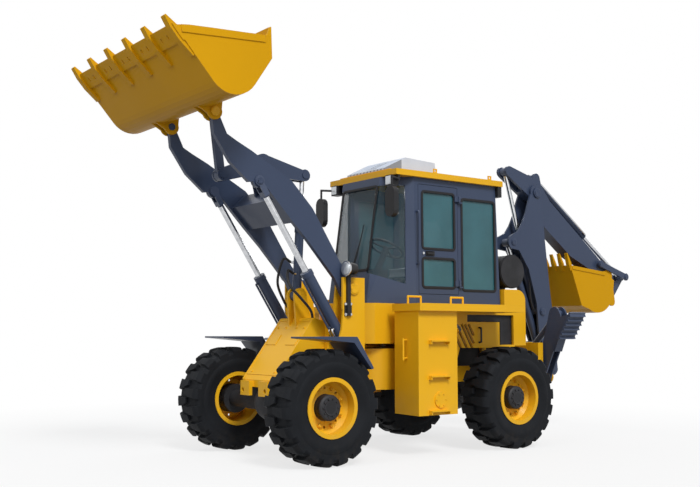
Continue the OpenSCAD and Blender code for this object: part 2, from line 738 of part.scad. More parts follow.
module door_windows() {
    side_window(-740, -282, 1700, 2010);
    side_window(-740, -282, 2110, 2720);
}
module door() {
    color(gunmetal) {
        difference() {
            intersection() {
                difference() {
                    cab_volume(0);
                    cab_volume(cab_wall, 20);
                }
                door_cut();
            }
            door_windows();
        }
        for (z = knuckle_z) difference() {
            union() {
                translate([door_hinge[0], door_hinge[1], z]) cylinder(r = hinge_pin_r + 6, h = knuckle_h);
                translate([door_hinge[0], door_hinge[1] - 11, z]) cube([62, 8, knuckle_h]);
                translate([door_x[0] + 10, 530, z]) cube([34, 36, knuckle_h]);
            }
            translate([door_hinge[0], door_hinge[1], z - 1])
                cylinder(r = hinge_pin_r + pin_play, h = knuckle_h + 2);
        }
    }
}
module door_glass() {
    color([0.3, 0.45, 0.5, 0.5]) intersection() {
        pane_shell();
        door_windows();
    }
}

// Roof: a plate with a raised middle that stands out past the cab all round
module cab_roof() {
    color(yellow) {
        translate([-1450, -590, eaves_z]) cube([1550, 1180, 62]);
        translate([-1300, -440, eaves_z + 62]) cube([1370, 880, 18]);
        both_sides() for (x = [-1380, -560]) difference() {
            translate([x, 470, eaves_z + 50]) cube([50, 12, 80]);
            cross_bar([x + 25, eaves_z + 108], 13, 460, 490);
        }
    }
}

// Air conditioner: a box with a sloped and ribbed front
module roof_unit() {
    z = eaves_z + 80;
    color("#d8dce2") difference() {
        side_plate([[50, z], [50, z + 22], [-240, z + unit_h], [-660, z + unit_h - 20], [-680, z]], -330,
            660);
        for (y = [-270 : 60 : 270]) translate([50, y - 12, z + 22]) rotate([0, atan2(-290, unit_h - 22), 0])
            translate([-8, 0, 40]) cube([30, 24, 235]);
    }
}

seat_x = -700;
module seat() {
    z = floor_z + cab_wall;
    color(black) {
        translate([seat_x - 160, -170, z]) cube([320, 340, 260]);
        translate([seat_x - 240, -250, z + 260]) cube([500, 500, 130]);
        translate([seat_x - 230, -240, z + 370]) rotate([0, -8, 0]) cube([120, 480, 560]);
    }
}

// Dash with the steering column and its wheel
module console() {
    z = floor_z + cab_wall;
    color(black) {
        translate([-60, -240, z]) cube([200, 480, 330]);
        translate([-90, 0, z + 300]) rotate([0, -28, 0]) {
            cylinder(r = 35, h = 330);
            translate([0, 0, 320]) rotate_extrude($fn = 64) translate([190, 0]) circle(r = 15, $fn = 24);
            for (a = [90, 210, 330]) rotate([0, 0, a]) translate([0, -12, 312]) cube([190, 24, 14]);
        }
    }
}

// Mirrors on bent arms and work lamps under the roof's corners
mirror_at = [195, 630, 2570];
module cab_fittings() {
    color(black) translate([-1000, 180, eaves_z + 80]) cylinder(r1 = 85, r2 = 55, h = 60);
    color(black) both_sides() {
        translate([mirror_at[0] - 35, mirror_at[1] - 80, mirror_at[2] - 90]) cube([60, 150, 170]);
        for (z = [-90, 80]) translate([mirror_at[0] - 35, mirror_at[1] - 5, mirror_at[2] + z])
            rotate([0, 90, 0]) cylinder(r = 75, h = 60);
        translate([mirror_at[0], mirror_at[1], mirror_at[2] + 100]) cylinder(r = 12, h = 160);
        bar_between([mirror_at[0], mirror_at[1], mirror_at[2] + 250], [50, 566, mirror_at[2] + 250], 12);
        translate([50, 566, mirror_at[2] + 230]) cylinder(r = 16, h = eaves_z - mirror_at[2] - 230);
        translate([30, 430, eaves_z - 110]) cube([90, 110, 110]);
        translate([-1440, 460, eaves_z - 120]) cube([60, 120, 120]);
    }
}
// A round bar between two points in space
module bar_between(p, q, r) {
    d = q - p;
    translate(p) rotate([0, acos(d[2] / norm(d)), atan2(d[1], d[0])]) cylinder(r = r, h = norm(d));
}

// Swing post: a boss on a vertical pin, with cheeks for the boom's foot and its cylinder
swing_pin_r = 45;
module swing_post() {
    cheek = concat(arc(boom_foot, 80, 170, 300, 8), [[swing_x + 40, 606], [swing_x + 40, 1040]],
        arc(boom_ram_base, 58, 60, 150, 6));
    color(gunmetal) difference() {
        union() {
            translate([swing_x, 0, 606]) cylinder(r = 84, h = 468);
            translate([swing_x, 0, 560]) cylinder(r = swing_pin_r, h = 560);
            both_sides() side_plate(cheek, 50, 30);
            side_plate([[swing_x, 606], [swing_x, 800], [-2640, 800], [-2660, 606]], -60, 120);
            cross_bar(boom_foot, dig_pin_r, -boom_gap / 2 - boom_t - 10, boom_gap / 2 + boom_t + 10);
            cross_bar(boom_ram_base, dig_pin_r - 10, -80, 80);
        }
    }
}

// Boom: two bent side plates with a back web, open in front for its cylinders
boom_in = boom_gap / 2;
module boom() {
    outline = concat(
        arc(boom_foot, 95, 200, 340, 8),
        [[-2600, 1060], [-2524, 1230], [-2493, 1578], [-2361, 1994], [-2200, 2215]],
        arc(boom_ram_eye, 90, -60, 60, 6),
        [[-2180, 2440], [-2254, 2535], [-2330, 2680], [-2385, 2840]],
        arc(boom_tip, 100, -10, 190, 10),
        [[-2633, 2674], [-2656, 2361], [-2724, 1795], [-2768, 1498]]);
    web = [[-2835, 1010], [-2768, 1498], [-2724, 1795], [-2670, 2230], [-2650, 2228], [-2704, 1790],
        [-2748, 1495], [-2812, 1010]];
    color(gunmetal) difference() {
        union() {
            both_sides() {
                side_plate(outline, boom_in, boom_t);
                cross_bar(boom_foot, 85, boom_in, boom_in + boom_t);
            }
            side_plate(web, -boom_in - 5, boom_gap + 10);
            cross_bar(boom_tip, dig_pin_r, -boom_in - boom_t - 12, boom_in + boom_t + 12);
            cross_bar(stick_ram_base, dig_pin_r - 10, -boom_in - boom_t - 8, boom_in + boom_t + 8);
        }
        cross_bar(boom_foot, dig_pin_r + pin_play, -200, 200);
    }
}

// Stick: a tapered box with a forked tail and lugs for the bucket's cylinder
stick_half = 80;
module stick() {
    outline = concat(
        arc(stick_tail, 62, -60, 110, 6),
        [[-2460, 3140], [-2640, 3050], [-2800, 2860], [-3660, 2220]],
        arc(digger_hinge, 68, 110, 290, 8),
        [[-3450, 2070], [-3162, 2190], [-2690, 2530], [-2560, 2800]],
        arc(boom_tip, 88, 250, 300, 4));
    slot = [[-1950, 3000], [-1950, 3400], [-2330, 3400], [-2400, 3060], [-2330, 2940], [-2200, 2900]];
    color(gunmetal) difference() {
        union() {
            side_plate(outline, -stick_half, 2 * stick_half);
            both_sides() side_plate(concat(arc(curl_base, 62, 0, 180, 6),
                [[-2660, 2990], [-2460, 2990]]), 48, 32);
            cross_bar(rocker_pin, dig_pin_r - 10, -rocker_out - 4, rocker_out + 4);
        }
        side_plate(slot, -45, 90);
        along_xz(curl_base, rocker_tip) translate([-62, -48, -62]) cube([124, 96, 460]);
        cross_bar(boom_tip, dig_pin_r + pin_play, -200, 200);
        cross_bar(digger_hinge, dig_pin_r - 5 + pin_play, -200, 200);
    }
    color(gunmetal) cross_bar(curl_base, dig_pin_r - 10, -stick_half, stick_half);
}

// Digging bucket: a rolled shell with ears for the stick and the link
function digger_line(t) = let (c = [-3440, 1790], r = 315) concat(
    [[-2938, 2057] + t * [-0.93, 0.36], [-3136, 1560] + t * [-0.93, 0.36]],
    arc(c, r - t, 300, 195, 10),
    [[-3772, 1892] + t * [0.95, 0.1], [-3593, 1996] + t * [0.5, -0.86]]);
module digger_bucket() {
    half = digger_w / 2;
    ear = concat(arc(digger_hinge, 72, 60, 200, 6), arc(digger_link, 58, 180, 290, 5),
        [[-3700, 1690], [-3745, 1890], [-3620, 1985]]);
    color(yellow) difference() {
        union() {
            difference() {
                side_plate(digger_line(0), -half, digger_w);
                side_plate(concat(digger_line(digger_wall), [[-3500, 2200], [-2900, 2200]]),
                    -half + digger_wall, digger_w - 2 * digger_wall);
            }
            for (i = [0 : digger_teeth - 1])
                translate([-2938, -half + 30 + i * (digger_w - 60) / (digger_teeth - 1), 2057])
                    rotate([0, 21, 0]) digger_tooth();
            both_sides() side_plate(ear, stick_half + side_gap + 1, 20);
            both_sides() side_plate([[-2960, 2054], [-2976, 2008], [-3590, 1950], [-3596, 1994]],
                half - 1, 9);
            cross_bar(digger_hinge, dig_pin_r - 5, -stick_half - 26, stick_half + 26);
            cross_bar(digger_link, 28, -stick_half - 26, stick_half + 26);
        }
    }
}
module digger_tooth() {
    translate([0, 24, -70]) rotate([90, 0, 0]) linear_extrude(48)
        polygon([[-26, 0], [-34, 90], [-12, 225], [-2, 225], [14, 100], [14, 0]]);
}

// Rocker plates and link plates of the digging bucket
rocker_out = 130;
module link_bar(p, q, y, t, w, bore_r) {
    reach = span(p, q);
    along_xz(p, q) both_sides() difference() {
        union() {
            for (z = [0, reach]) translate([0, y, z]) rotate([-90, 0, 0]) cylinder(r = w, h = t);
            translate([-w * 0.75, y, 0]) cube([w * 1.5, t, reach]);
        }
        translate([0, y - 1, 0]) rotate([-90, 0, 0]) cylinder(r = bore_r + pin_play, h = t + 2);
    }
}
module curl_rocker() {
    color(gunmetal) link_bar(rocker_pin, rocker_tip, rocker_out - 18, 18, 48, dig_pin_r - 10);
}
module curl_link() {
    color(gunmetal) link_bar(digger_link, rocker_tip, 34, 18, 48, 28);
}

// Backhoe cylinders
module boom_barrel() {
    along_xz(boom_ram_base, boom_ram_eye) barrel(boom_barrel_len, dig_r, dig_rod_r, dig_pin_r - 10, 88);
}
module boom_rod() {
    along_xz(boom_ram_base, boom_ram_eye)
        rod(span(boom_ram_base, boom_ram_eye), boom_barrel_len, dig_rod_r, 48, 90, 500);
}
module stick_barrel() {
    along_xz(stick_ram_base, stick_tail) barrel(stick_barrel_len, dig_r, dig_rod_r, dig_pin_r - 10, 120);
}
module stick_rod() {
    along_xz(stick_ram_base, stick_tail)
        rod(span(stick_ram_base, stick_tail), stick_barrel_len, dig_rod_r, 48, 80, 70);
}
module curl_barrel() {
    along_xz(curl_base, rocker_tip) barrel(curl_barrel_len, dig_r, dig_rod_r, dig_pin_r - 10, 86);
}
module curl_rod() {
    along_xz(curl_base, rocker_tip)
        rod(span(curl_base, rocker_tip), curl_barrel_len, dig_rod_r, 46, 56, 300);
}

// Stabiliser legs, folded up, each with a ribbed foot
leg_pin_r = 32;
// A point just under the foot's outer face, at a distance up from its lower edge
function pad_point(up) = [903.5, 1151] + up * [0.527, 0.85];
module leg() {
    color(gunmetal) difference() {
        union() {
            for (x = [leg_x - leg_half, leg_x + leg_half - 20]) translate([x, 0, 0]) rotate([90, 0, 90])
                linear_extrude(20) polygon(concat(arc(leg_pivot, 68, 160, 340, 8),
                    [[900, 1300], [880, 1430]], arc(leg_ram_eye, 76, 20, 160, 6), [[655, 1240]]));
            translate([leg_x - leg_half, 0, 0]) rotate([90, 0, 90]) linear_extrude(2 * leg_half)
                polygon([[760, 1020], [790, 1010], [912, 1300], [880, 1310]]);
            translate([leg_x - 130, 0, 0]) rotate([90, 0, 90]) linear_extrude(260)
                polygon([[905, 1150], [1085, 1440], [1070, 1452], [885, 1160]]);
            for (x = [leg_x - leg_half, leg_x + leg_half - 20]) translate([x, 0, 0]) rotate([90, 0, 90])
                linear_extrude(20) polygon([[890, 1160], [1060, 1440], [860, 1400], [840, 1250]]);
            for (i = [0 : 5]) translate([leg_x - 130, 0, 0]) rotate([90, 0, 90]) linear_extrude(260)
                polygon([pad_point(i * 58), pad_point(i * 58 + 18) + [22, -14], pad_point(i * 58 + 40)]);
        }
        translate([leg_x - 300, leg_pivot[0], leg_pivot[1]]) rotate([0, 90, 0])
            cylinder(r = leg_pin_r + pin_play, h = 600);
    }
}
module leg_barrel() {
    along_yz(leg_ram_base, leg_ram_eye, leg_x) barrel(leg_barrel_len, 34, 18, leg_pin_r, 74);
}
module leg_rod() {
    along_yz(leg_ram_base, leg_ram_eye, leg_x)
        rod(span(leg_ram_base, leg_ram_eye), leg_barrel_len, 18, 40, 72, 490);
}

rear_frame();
axle(-axle_x);  // rear_axle
engine();
hood();
side_tanks();
platforms();
cab_frame();
cab_glass();
cab_roof();
roof_unit();
seat();
console();
cab_fittings();
door();
door_glass();
front_frame();
axle(axle_x);  // front_axle
front_fenders();
headlamps();
wheel_at(axle_x, 1) tyre();  // tyre_front_left
wheel_at(axle_x, -1) tyre();  // tyre_front_right
wheel_at(-axle_x, 1) tyre();  // tyre_rear_left
wheel_at(-axle_x, -1) tyre();  // tyre_rear_right
wheel_at(axle_x, 1) rim();  // rim_front_left
wheel_at(axle_x, -1) rim();  // rim_front_right
wheel_at(-axle_x, 1) rim();  // rim_rear_left
wheel_at(-axle_x, -1) rim();  // rim_rear_right
loader_arms();
loader_bucket();
bucket_pins();
bellcrank();
bellcrank_pin();
bucket_link();
link_pin();
lift_barrels();
lift_rods();
tilt_barrel();
tilt_rod();
swing_post();
boom();
stick();
digger_bucket();
boom_barrel();
boom_rod();
stick_barrel();
stick_rod();
curl_barrel();
curl_rod();
curl_rocker();
curl_link();
leg();  // leg_left
mirror([0, 1, 0]) leg();  // leg_right
leg_barrel();  // leg_barrel_left
mirror([0, 1, 0]) leg_barrel();  // leg_barrel_right
leg_rod();  // leg_rod_left
mirror([0, 1, 0]) leg_rod();  // leg_rod_right
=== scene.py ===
"""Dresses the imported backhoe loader: paints, rubber, glass, seat, lamps and small fittings."""

import json
import math

import bpy
from mathutils import Matrix, Vector


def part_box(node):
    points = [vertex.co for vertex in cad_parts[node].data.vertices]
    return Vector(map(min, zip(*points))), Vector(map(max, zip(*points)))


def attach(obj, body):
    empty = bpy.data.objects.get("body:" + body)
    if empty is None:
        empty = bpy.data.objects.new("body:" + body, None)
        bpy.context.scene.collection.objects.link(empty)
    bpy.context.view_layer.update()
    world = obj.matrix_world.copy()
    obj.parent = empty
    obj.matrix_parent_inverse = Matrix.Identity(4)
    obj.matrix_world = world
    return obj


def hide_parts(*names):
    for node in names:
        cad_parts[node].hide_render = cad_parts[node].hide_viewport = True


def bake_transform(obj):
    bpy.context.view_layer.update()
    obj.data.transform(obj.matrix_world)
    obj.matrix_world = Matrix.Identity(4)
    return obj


bl_info = {
    "name": "Backhoe loader dressing",
    "version": (1, 0, 0),
    "blender": (4, 5, 0),
    "location": "View3D > Sidebar > Loader",
    "description": "Paints, tyres, glass, seat, lamps and fittings of a backhoe loader",
    "category": "Object",
}

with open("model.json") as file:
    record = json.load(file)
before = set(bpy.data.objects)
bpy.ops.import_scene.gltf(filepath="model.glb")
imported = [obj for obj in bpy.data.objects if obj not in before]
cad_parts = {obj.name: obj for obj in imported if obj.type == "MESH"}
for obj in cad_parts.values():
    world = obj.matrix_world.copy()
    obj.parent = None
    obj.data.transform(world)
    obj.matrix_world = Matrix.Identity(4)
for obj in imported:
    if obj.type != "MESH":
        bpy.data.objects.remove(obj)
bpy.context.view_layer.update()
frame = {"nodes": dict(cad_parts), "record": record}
NODES = frame["nodes"]
WHEELS = ("front_left", "front_right", "rear_left", "rear_right")
SIDES = ((1, "left"), (-1, "right"))

# Joint centres in metres, forward and up from the ground under the middle of the wheelbase
AXLE = (1.215, 0.5375)
ARM_PIVOT = (0.610, 1.660)
LIFT_BASE, LIFT_EYE = (0.590, 1.010), (1.679, 2.658)
TILT_BASE, TILT_EYE = (0.940, 1.600), (0.879, 2.840)
BUCKET_HINGE = (2.176, 3.258)
BOOM_FOOT, BOOM_TIP, BOOM_EYE = (-2.760, 0.800), (-2.520, 2.940), (-2.110, 2.310)
STICK_BASE, STICK_EYE = (-2.590, 1.480), (-2.090, 3.175)
CURL_BASE, CURL_EYE = (-2.560, 3.130), (-4.204, 1.959)
ROCKER_PIN = (-3.700, 2.110)

# The legs' rod eyes, to the side and up, and the loader arms' distance from the middle
LEG_EYE = (0.790, 1.440)
ARM_Y = 0.44

# The cab's walls: where they start at the sill, and how far each leans in over a metre of height
SILL_Z, WALL_Y, SCREEN_X = 1.527, 0.555, 0.300
WALL_LEAN, SCREEN_LEAN, BACK_LEAN = 0.0075, 0.1423, 0.0375


# Sizes and colours that a user would change

def colour(name, text, value):
    return bpy.props.FloatVectorProperty(
        name=name, description=text, default=value, size=3, min=0.0, max=1.0, subtype="COLOR")


def length(name, text, value):
    return bpy.props.FloatProperty(
        name=name, description=text, default=value, min=0.0, unit="LENGTH", subtype="DISTANCE")


class LoaderFinish(bpy.types.PropertyGroup):
    """Colours of the machine's paints and materials"""
    body_paint: colour("Body paint", "Yellow of the frames, tanks, roof and rims", (0.83, 0.44, 0.010))
    # The buckets' deeper yellow is partly their paint and partly painted shade, a darker copy of the body
    # yellow
    shaded_bucket_paint: colour("Bucket paint", "Deeper yellow of the two buckets", (0.66, 0.33, 0.003))
    arm_paint: colour("Arm paint", "Slate blue of the arms, cab and boom", (0.044, 0.062, 0.112))
    iron: colour("Iron", "Black of the axles, engine and hubs", (0.014, 0.014, 0.016))
    rubber: colour("Rubber", "Tyre rubber", (0.0085, 0.0095, 0.0115))
    # The side windows' pale teal is a painted reflection, and the windscreen's darker tint is painted shade
    # of the cab's inside
    glass: colour("Glass", "Tint of the side windows", (0.040, 0.150, 0.180))
    windscreen: colour("Windscreen", "Tint of the windscreen and the corner windows", (0.024, 0.056, 0.076))
    cloth: colour("Seat", "Cover of the driver's seat", (0.42, 0.50, 0.53))
    pale: colour("Roof unit", "Pale housing on the roof", (0.60, 0.66, 0.77))
    dust: colour("Dust", "Dry soil that settles on low surfaces", (0.33, 0.25, 0.17))


class LoaderSizes(bpy.types.PropertyGroup):
    """Sizes of the fittings that are added to the solids"""
    hub_r: length("Hub radius", "Outer radius of the dark hub cover", 0.121)
    nut_r: length("Nut radius", "Radius of a wheel nut", 0.017)
    nut_circle: length("Nut circle", "Radius of the circle of wheel nuts", 0.180)
    lens_r: length("Lens radius", "Radius of a headlamp lens", 0.066)
    bolt_r: length("Bolt radius", "Radius of a panel bolt's head", 0.011)


class LoaderStage(bpy.types.PropertyGroup):
    """Camera and floor"""
    focal: bpy.props.FloatProperty(
        name="Focal length", description="Lens of the camera on a 36 mm sensor", default=50.48,
        unit="CAMERA")
    camera_at: bpy.props.FloatVectorProperty(
        name="Camera", description="Place of the camera", default=(6.4829, 8.3728, 1.2221),
        subtype="TRANSLATION")
    yaw: bpy.props.FloatProperty(
        name="Yaw", description="Heading of the camera", default=math.radians(-126.6215), subtype="ANGLE")
    pitch: bpy.props.FloatProperty(
        name="Pitch", description="Tilt of the camera", default=math.radians(5.199), subtype="ANGLE")
    floor_tone: colour("Floor", "Colour of the floor", (0.70, 0.70, 0.70))


# Shader maths: a value socket that takes Python's operators

class Value:
    """A number in a node tree"""

    def __init__(self, tree, socket):
        self.tree = tree
        self.socket = socket

    def math(self, operation, other=None, turned=False):
        first, second = (other, self) if turned else (self, other)
        inputs = {0: first} if other is None else {0: first, 1: second}
        return self.tree.node("ShaderNodeMath", {"operation": operation}, inputs).value()

    def __add__(self, other):
        return self.math("ADD", other)

    def __sub__(self, other):
        return self.math("SUBTRACT", other)

    def __rsub__(self, other):
        return self.math("SUBTRACT", other, turned=True)

    def __mul__(self, other):
        return self.math("MULTIPLY", other)

    def __lt__(self, other):
        return self.math("LESS_THAN", other)

    def clamp(self, low, high):
        """Rises from 0 at low to 1 at high"""
        return self.tree.node("ShaderNodeMapRange", {"clamp": True}, {
            "Value": self, "From Min": low, "From Max": high, "To Min": 0.0, "To Max": 1.0}).value("Result")


class Node:
    """A node and its outputs"""

    def __init__(self, tree, node):
        self.tree = tree
        self.node = node

    def out(self, name=0):
        return self.node.outputs[name]

    def value(self, name=0):
        return Value(self.tree, self.node.outputs[name])


class Finish:
    """A material whose surface is one Principled shader"""

    def __init__(self, name):
        self.material = bpy.data.materials.new(name)
        self.material.use_nodes = True
        self.nodes = self.material.node_tree.nodes
        self.links = self.material.node_tree.links
        self.shader = self.nodes["Principled BSDF"]
        self.place = self.node("ShaderNodeTexCoord", {}, {}).out("Object")

    def node(self, kind, settings, inputs):
        made = self.nodes.new(kind)
        for key, value in settings.items():
            setattr(made, key, value)
        for key, value in inputs.items():
            self.feed(made.inputs[key], value)
        return Node(self, made)

    def feed(self, socket, value):
        if isinstance(value, Value):
            self.links.new(value.socket, socket)
        elif isinstance(value, bpy.types.NodeSocket):
            self.links.new(value, socket)
        elif isinstance(value, (tuple, list)) and len(value) == 3 and socket.type == "RGBA":
            socket.default_value = (*value, 1.0)
        else:
            socket.default_value = value

    def noise(self, scale, detail):
        return self.node("ShaderNodeTexNoise", {}, {
            "Vector": self.place, "Scale": scale, "Detail": detail}).value()

    def bands(self, scale, distortion=0.0):
        """Stripes that follow each other across the machine"""
        return self.node("ShaderNodeTexWave", {"wave_type": "BANDS", "bands_direction": "Y"}, {
            "Vector": self.place, "Scale": scale, "Distortion": distortion}).value("Fac")

    def mix(self, mask, low, high):
        """A colour that goes from low to high with the mask"""
        made = self.node("ShaderNodeMix", {"data_type": "RGBA"}, {})
        for name, value in (("Factor_Float", mask), ("A_Color", low), ("B_Color", high)):
            self.feed(next(s for s in made.node.inputs if s.identifier == name), value)
        return next(s for s in made.node.outputs if s.identifier == "Result_Color")

    def along(self, axis):
        return self.node("ShaderNodeSeparateXYZ", {}, {0: self.place}).value(axis)

    def off_wheel_axis(self):
        """Distance from the wheels' axles, seen from the side"""
        forward = self.along("X").math("ABSOLUTE") - AXLE[0]
        rise = self.along("Z") - AXLE[1]
        return (forward * forward + rise * rise).math("SQRT")

    def edges(self, radius):
        """1 along edges, by how far a rounded edge would turn the surface"""
        turned = self.node("ShaderNodeBevel", {"samples": 4}, {"Radius": radius}).out()
        flat = self.node("ShaderNodeNewGeometry", {}, {}).out("Normal")
        same = self.node("ShaderNodeVectorMath", {"operation": "DOT_PRODUCT"}, {0: turned, 1: flat})
        return (1.0 - same.value("Value")).clamp(0.02, 0.22)

    def bump(self, height, strength, distance):
        return self.node("ShaderNodeBump", {}, {
            "Height": height, "Strength": strength, "Distance": distance}).out("Normal")

    def surface(self, **sockets):
        names = {"color": "Base Color", "rough": "Roughness", "metal": "Metallic", "coat": "Coat Weight",
                 "coat_rough": "Coat Roughness", "normal": "Normal", "alpha": "Alpha", "ior": "IOR",
                 "specular": "Specular IOR Level", "sheen": "Sheen Weight"}
        for key, value in sockets.items():
            self.feed(self.shader.inputs[names[key]], value)
        return self.material


def settings():
    scene = bpy.context.scene
    return scene.loader_finish, scene.loader_sizes, scene.loader_stage


def shade(tone, factor):
    """A colour made darker or lighter"""
    return tuple(c * factor for c in tone)


def painted(name, tone, gloss=0.36, chips=0.25, dusty=0.10, shine=0.22, hub=None):
    """Sprayed paint: orange peel, faint fading, worn edges, and dust low down"""
    look = settings()[0]
    paint = Finish(name)
    fade = paint.noise(1.3, 3.0).clamp(0.2, 0.85)
    body = paint.mix(fade, shade(tone, 0.92), tone)
    speck = paint.noise(45.0, 4.0).clamp(0.50, 0.62)
    worn = paint.edges(0.009) * speck * chips
    body = paint.mix(worn, body, (0.10, 0.085, 0.07))
    low = 1.0 - paint.along("Z").clamp(0.15, 0.95)
    dusted = low * paint.noise(9.0, 6.0).clamp(0.42, 0.75) * dusty
    body = paint.mix(dusted, body, tuple(look.dust))
    if hub:
        body = paint.mix(paint.off_wheel_axis() < hub, body, tuple(look.iron))
    streak = paint.noise(2.5, 3.0)
    rough = streak * 0.10 + (gloss - 0.04) + dusted * 0.4
    peel = paint.noise(420.0, 2.0) + paint.noise(24.0, 2.0) * 1.5
    return paint.surface(color=body, rough=rough, coat=shine * 0.27, coat_rough=0.15, specular=shine,
                         normal=paint.bump(peel, 0.05, 0.002))


def tyre_rubber(name, tone):
    """Black rubber, a little dusty on the treads and dull on the walls"""
    look = settings()[0]
    rubber = Finish(name)
    grain = rubber.noise(95.0, 4.0)
    cloudy = rubber.noise(5.0, 5.0).clamp(0.35, 0.7)
    body = rubber.mix(cloudy, tone, shade(tone, 1.45))
    worn = rubber.edges(0.014) * rubber.noise(20.0, 4.0).clamp(0.35, 0.7) * 0.30
    body = rubber.mix(worn, body, shade(tone, 3.0))
    low = 1.0 - rubber.along("Z").clamp(0.0, 0.30)
    dusted = low * rubber.noise(16.0, 6.0).clamp(0.45, 0.7) * 0.12
    body = rubber.mix(dusted, body, shade(look.dust, 0.4))
    return rubber.surface(color=body, rough=grain * 0.15 + 0.62, specular=0.12,
                          normal=rubber.bump(grain, 0.25, 0.002))


def cast_iron(name, tone):
    """Rough castings under black paint"""
    iron = Finish(name)
    grain = iron.noise(150.0, 5.0)
    body = iron.mix(iron.noise(6.0, 4.0).clamp(0.35, 0.7), tone, tuple(c * 1.8 + 0.004 for c in tone))
    return iron.surface(color=body, rough=grain * 0.2 + 0.46, metal=0.1, specular=0.3,
                        normal=iron.bump(grain, 0.3, 0.001))


def chrome(name, eye=None):
    """Plated steel; eye is an axis, the centre and the reach of a part that is painted"""
    look = settings()[0]
    rod = Finish(name)
    smear = rod.noise(30.0, 3.0)
    body = rod.mix(smear.clamp(0.3, 0.8), (0.48, 0.49, 0.51), (0.66, 0.67, 0.69))
    rough = smear * 0.12 + 0.08
    if not eye:
        return rod.surface(color=body, metal=1.0, rough=rough)
    across, centre, reach = eye
    offset = rod.along(across).math("ABSOLUTE") - abs(centre[0])
    rise = rod.along("Z") - centre[1]
    painted_end = (offset * offset + rise * rise).math("SQRT") < reach
    body = rod.mix(painted_end, body, tuple(look.arm_paint))
    return rod.surface(color=body, metal=1.0 - painted_end, rough=rough + painted_end * 0.25)


def window_glass(name, tone, dark):
    """Tinted panes. The side panes' pale, nearly opaque teal and its blotches are a painted reflection; the
    windscreen and the corners are darker and clearer, a painted shade of the cab's inside
    """
    pane = Finish(name)
    # Blotches of lighter and darker teal are a painted reflection; the same noise varies the roughness a
    # little
    painted_reflection_noise = pane.noise(2.2, 3.0)
    front = pane.along("X").clamp(-0.20, -0.14)
    body = pane.mix(painted_reflection_noise.clamp(0.35, 0.65), shade(tone, 0.78), tone)
    # The windscreen and corner panes take the darker tone: painted shade of the cab's inside
    body = pane.mix(front, body, dark)
    made = pane.surface(color=body, rough=painted_reflection_noise * 0.03 + 0.01, alpha=0.82 - front * 0.44, specular=0.5,
                        ior=1.45)
    made.blend_method = "BLEND"
    return made


def moulded(name, tone, rough):
    """Moulded plastic with a fine pebble grain"""
    plastic = Finish(name)
    pebble = plastic.noise(300.0, 3.0)
    body = plastic.mix(plastic.noise(8.0, 3.0).clamp(0.3, 0.8), shade(tone, 0.88), tone)
    return plastic.surface(color=body, rough=pebble * 0.14 + (rough - 0.05), specular=0.3,
                           normal=plastic.bump(pebble, 0.12, 0.001))


def roof_housing(name, tone):
    """Pale moulded housing with painted shade in the slots of its sloped front"""
    cover = Finish(name)
    pebble = cover.noise(240.0, 3.0)
    fade = cover.noise(3.0, 4.0).clamp(0.25, 0.8)
    body = cover.mix(fade, shade(tone, 0.86), tone)
    # Dark stripes across the sloped front: painted shade in its slots
    between = 1.0 - (cover.along("Y").math("PINGPONG", 0.03) < 0.018)
    painted_slot_shade = between * (1.0 - (cover.along("X") < -0.185))
    body = cover.mix(painted_slot_shade * 0.75, body, shade(tone, 0.22))
    return cover.surface(color=body, rough=pebble * 0.14 + 0.37, specular=0.3,
                         normal=cover.bump(pebble, 0.12, 0.001))


def seat_cloth(name, tone):
    """Ribbed woven cover"""
    cloth = Finish(name)
    rib = cloth.bands(60.0, 0.4)
    weave = cloth.noise(500.0, 2.0)
    body = cloth.mix(rib, shade(tone, 0.7), shade(tone, 1.5))
    return cloth.surface(color=body, rough=weave * 0.1 + 0.78, sheen=0.25,
                         normal=cloth.bump(rib * 0.7 + weave * 0.3, 0.35, 0.002))


def lamp_lens(name, tone):
    """Fluted glass over a bright reflector"""
    lens = Finish(name)
    flute = lens.bands(45.0)
    body = lens.mix(flute, shade(tone, 0.8), tone)
    return lens.surface(color=body, rough=0.08, metal=0.65, specular=0.7, coat=0.6, coat_rough=0.05,
                        normal=lens.bump(flute, 0.3, 0.002))


def hose_rubber(name, tone):
    """Wrapped rubber hose: a fine weave and a dull sheen"""
    hose = Finish(name)
    wrap = hose.noise(260.0, 2.0)
    body = hose.mix(wrap.clamp(0.3, 0.7), shade(tone, 0.7), shade(tone, 1.4))
    return hose.surface(color=body, rough=wrap * 0.15 + 0.45, specular=0.3,
                        normal=hose.bump(wrap, 0.2, 0.001))


# Materials by the node or the slot that they are for
FINISHES = {}

# Rods whose eye is painted: the axis along which it is placed, its centre, and how far the paint reaches
ROD_EYES = {
    "lift_rods": ("X", LIFT_EYE, 0.175),
    "tilt_rod": ("X", TILT_EYE, 0.062),
    "boom_rod": ("X", BOOM_EYE, 0.058),
    "stick_rod": ("X", STICK_EYE, 0.058),
    "curl_rod": ("X", CURL_EYE, 0.056),
    "leg_rod_left": ("Y", LEG_EYE, 0.046),
    "leg_rod_right": ("Y", LEG_EYE, 0.046),
}


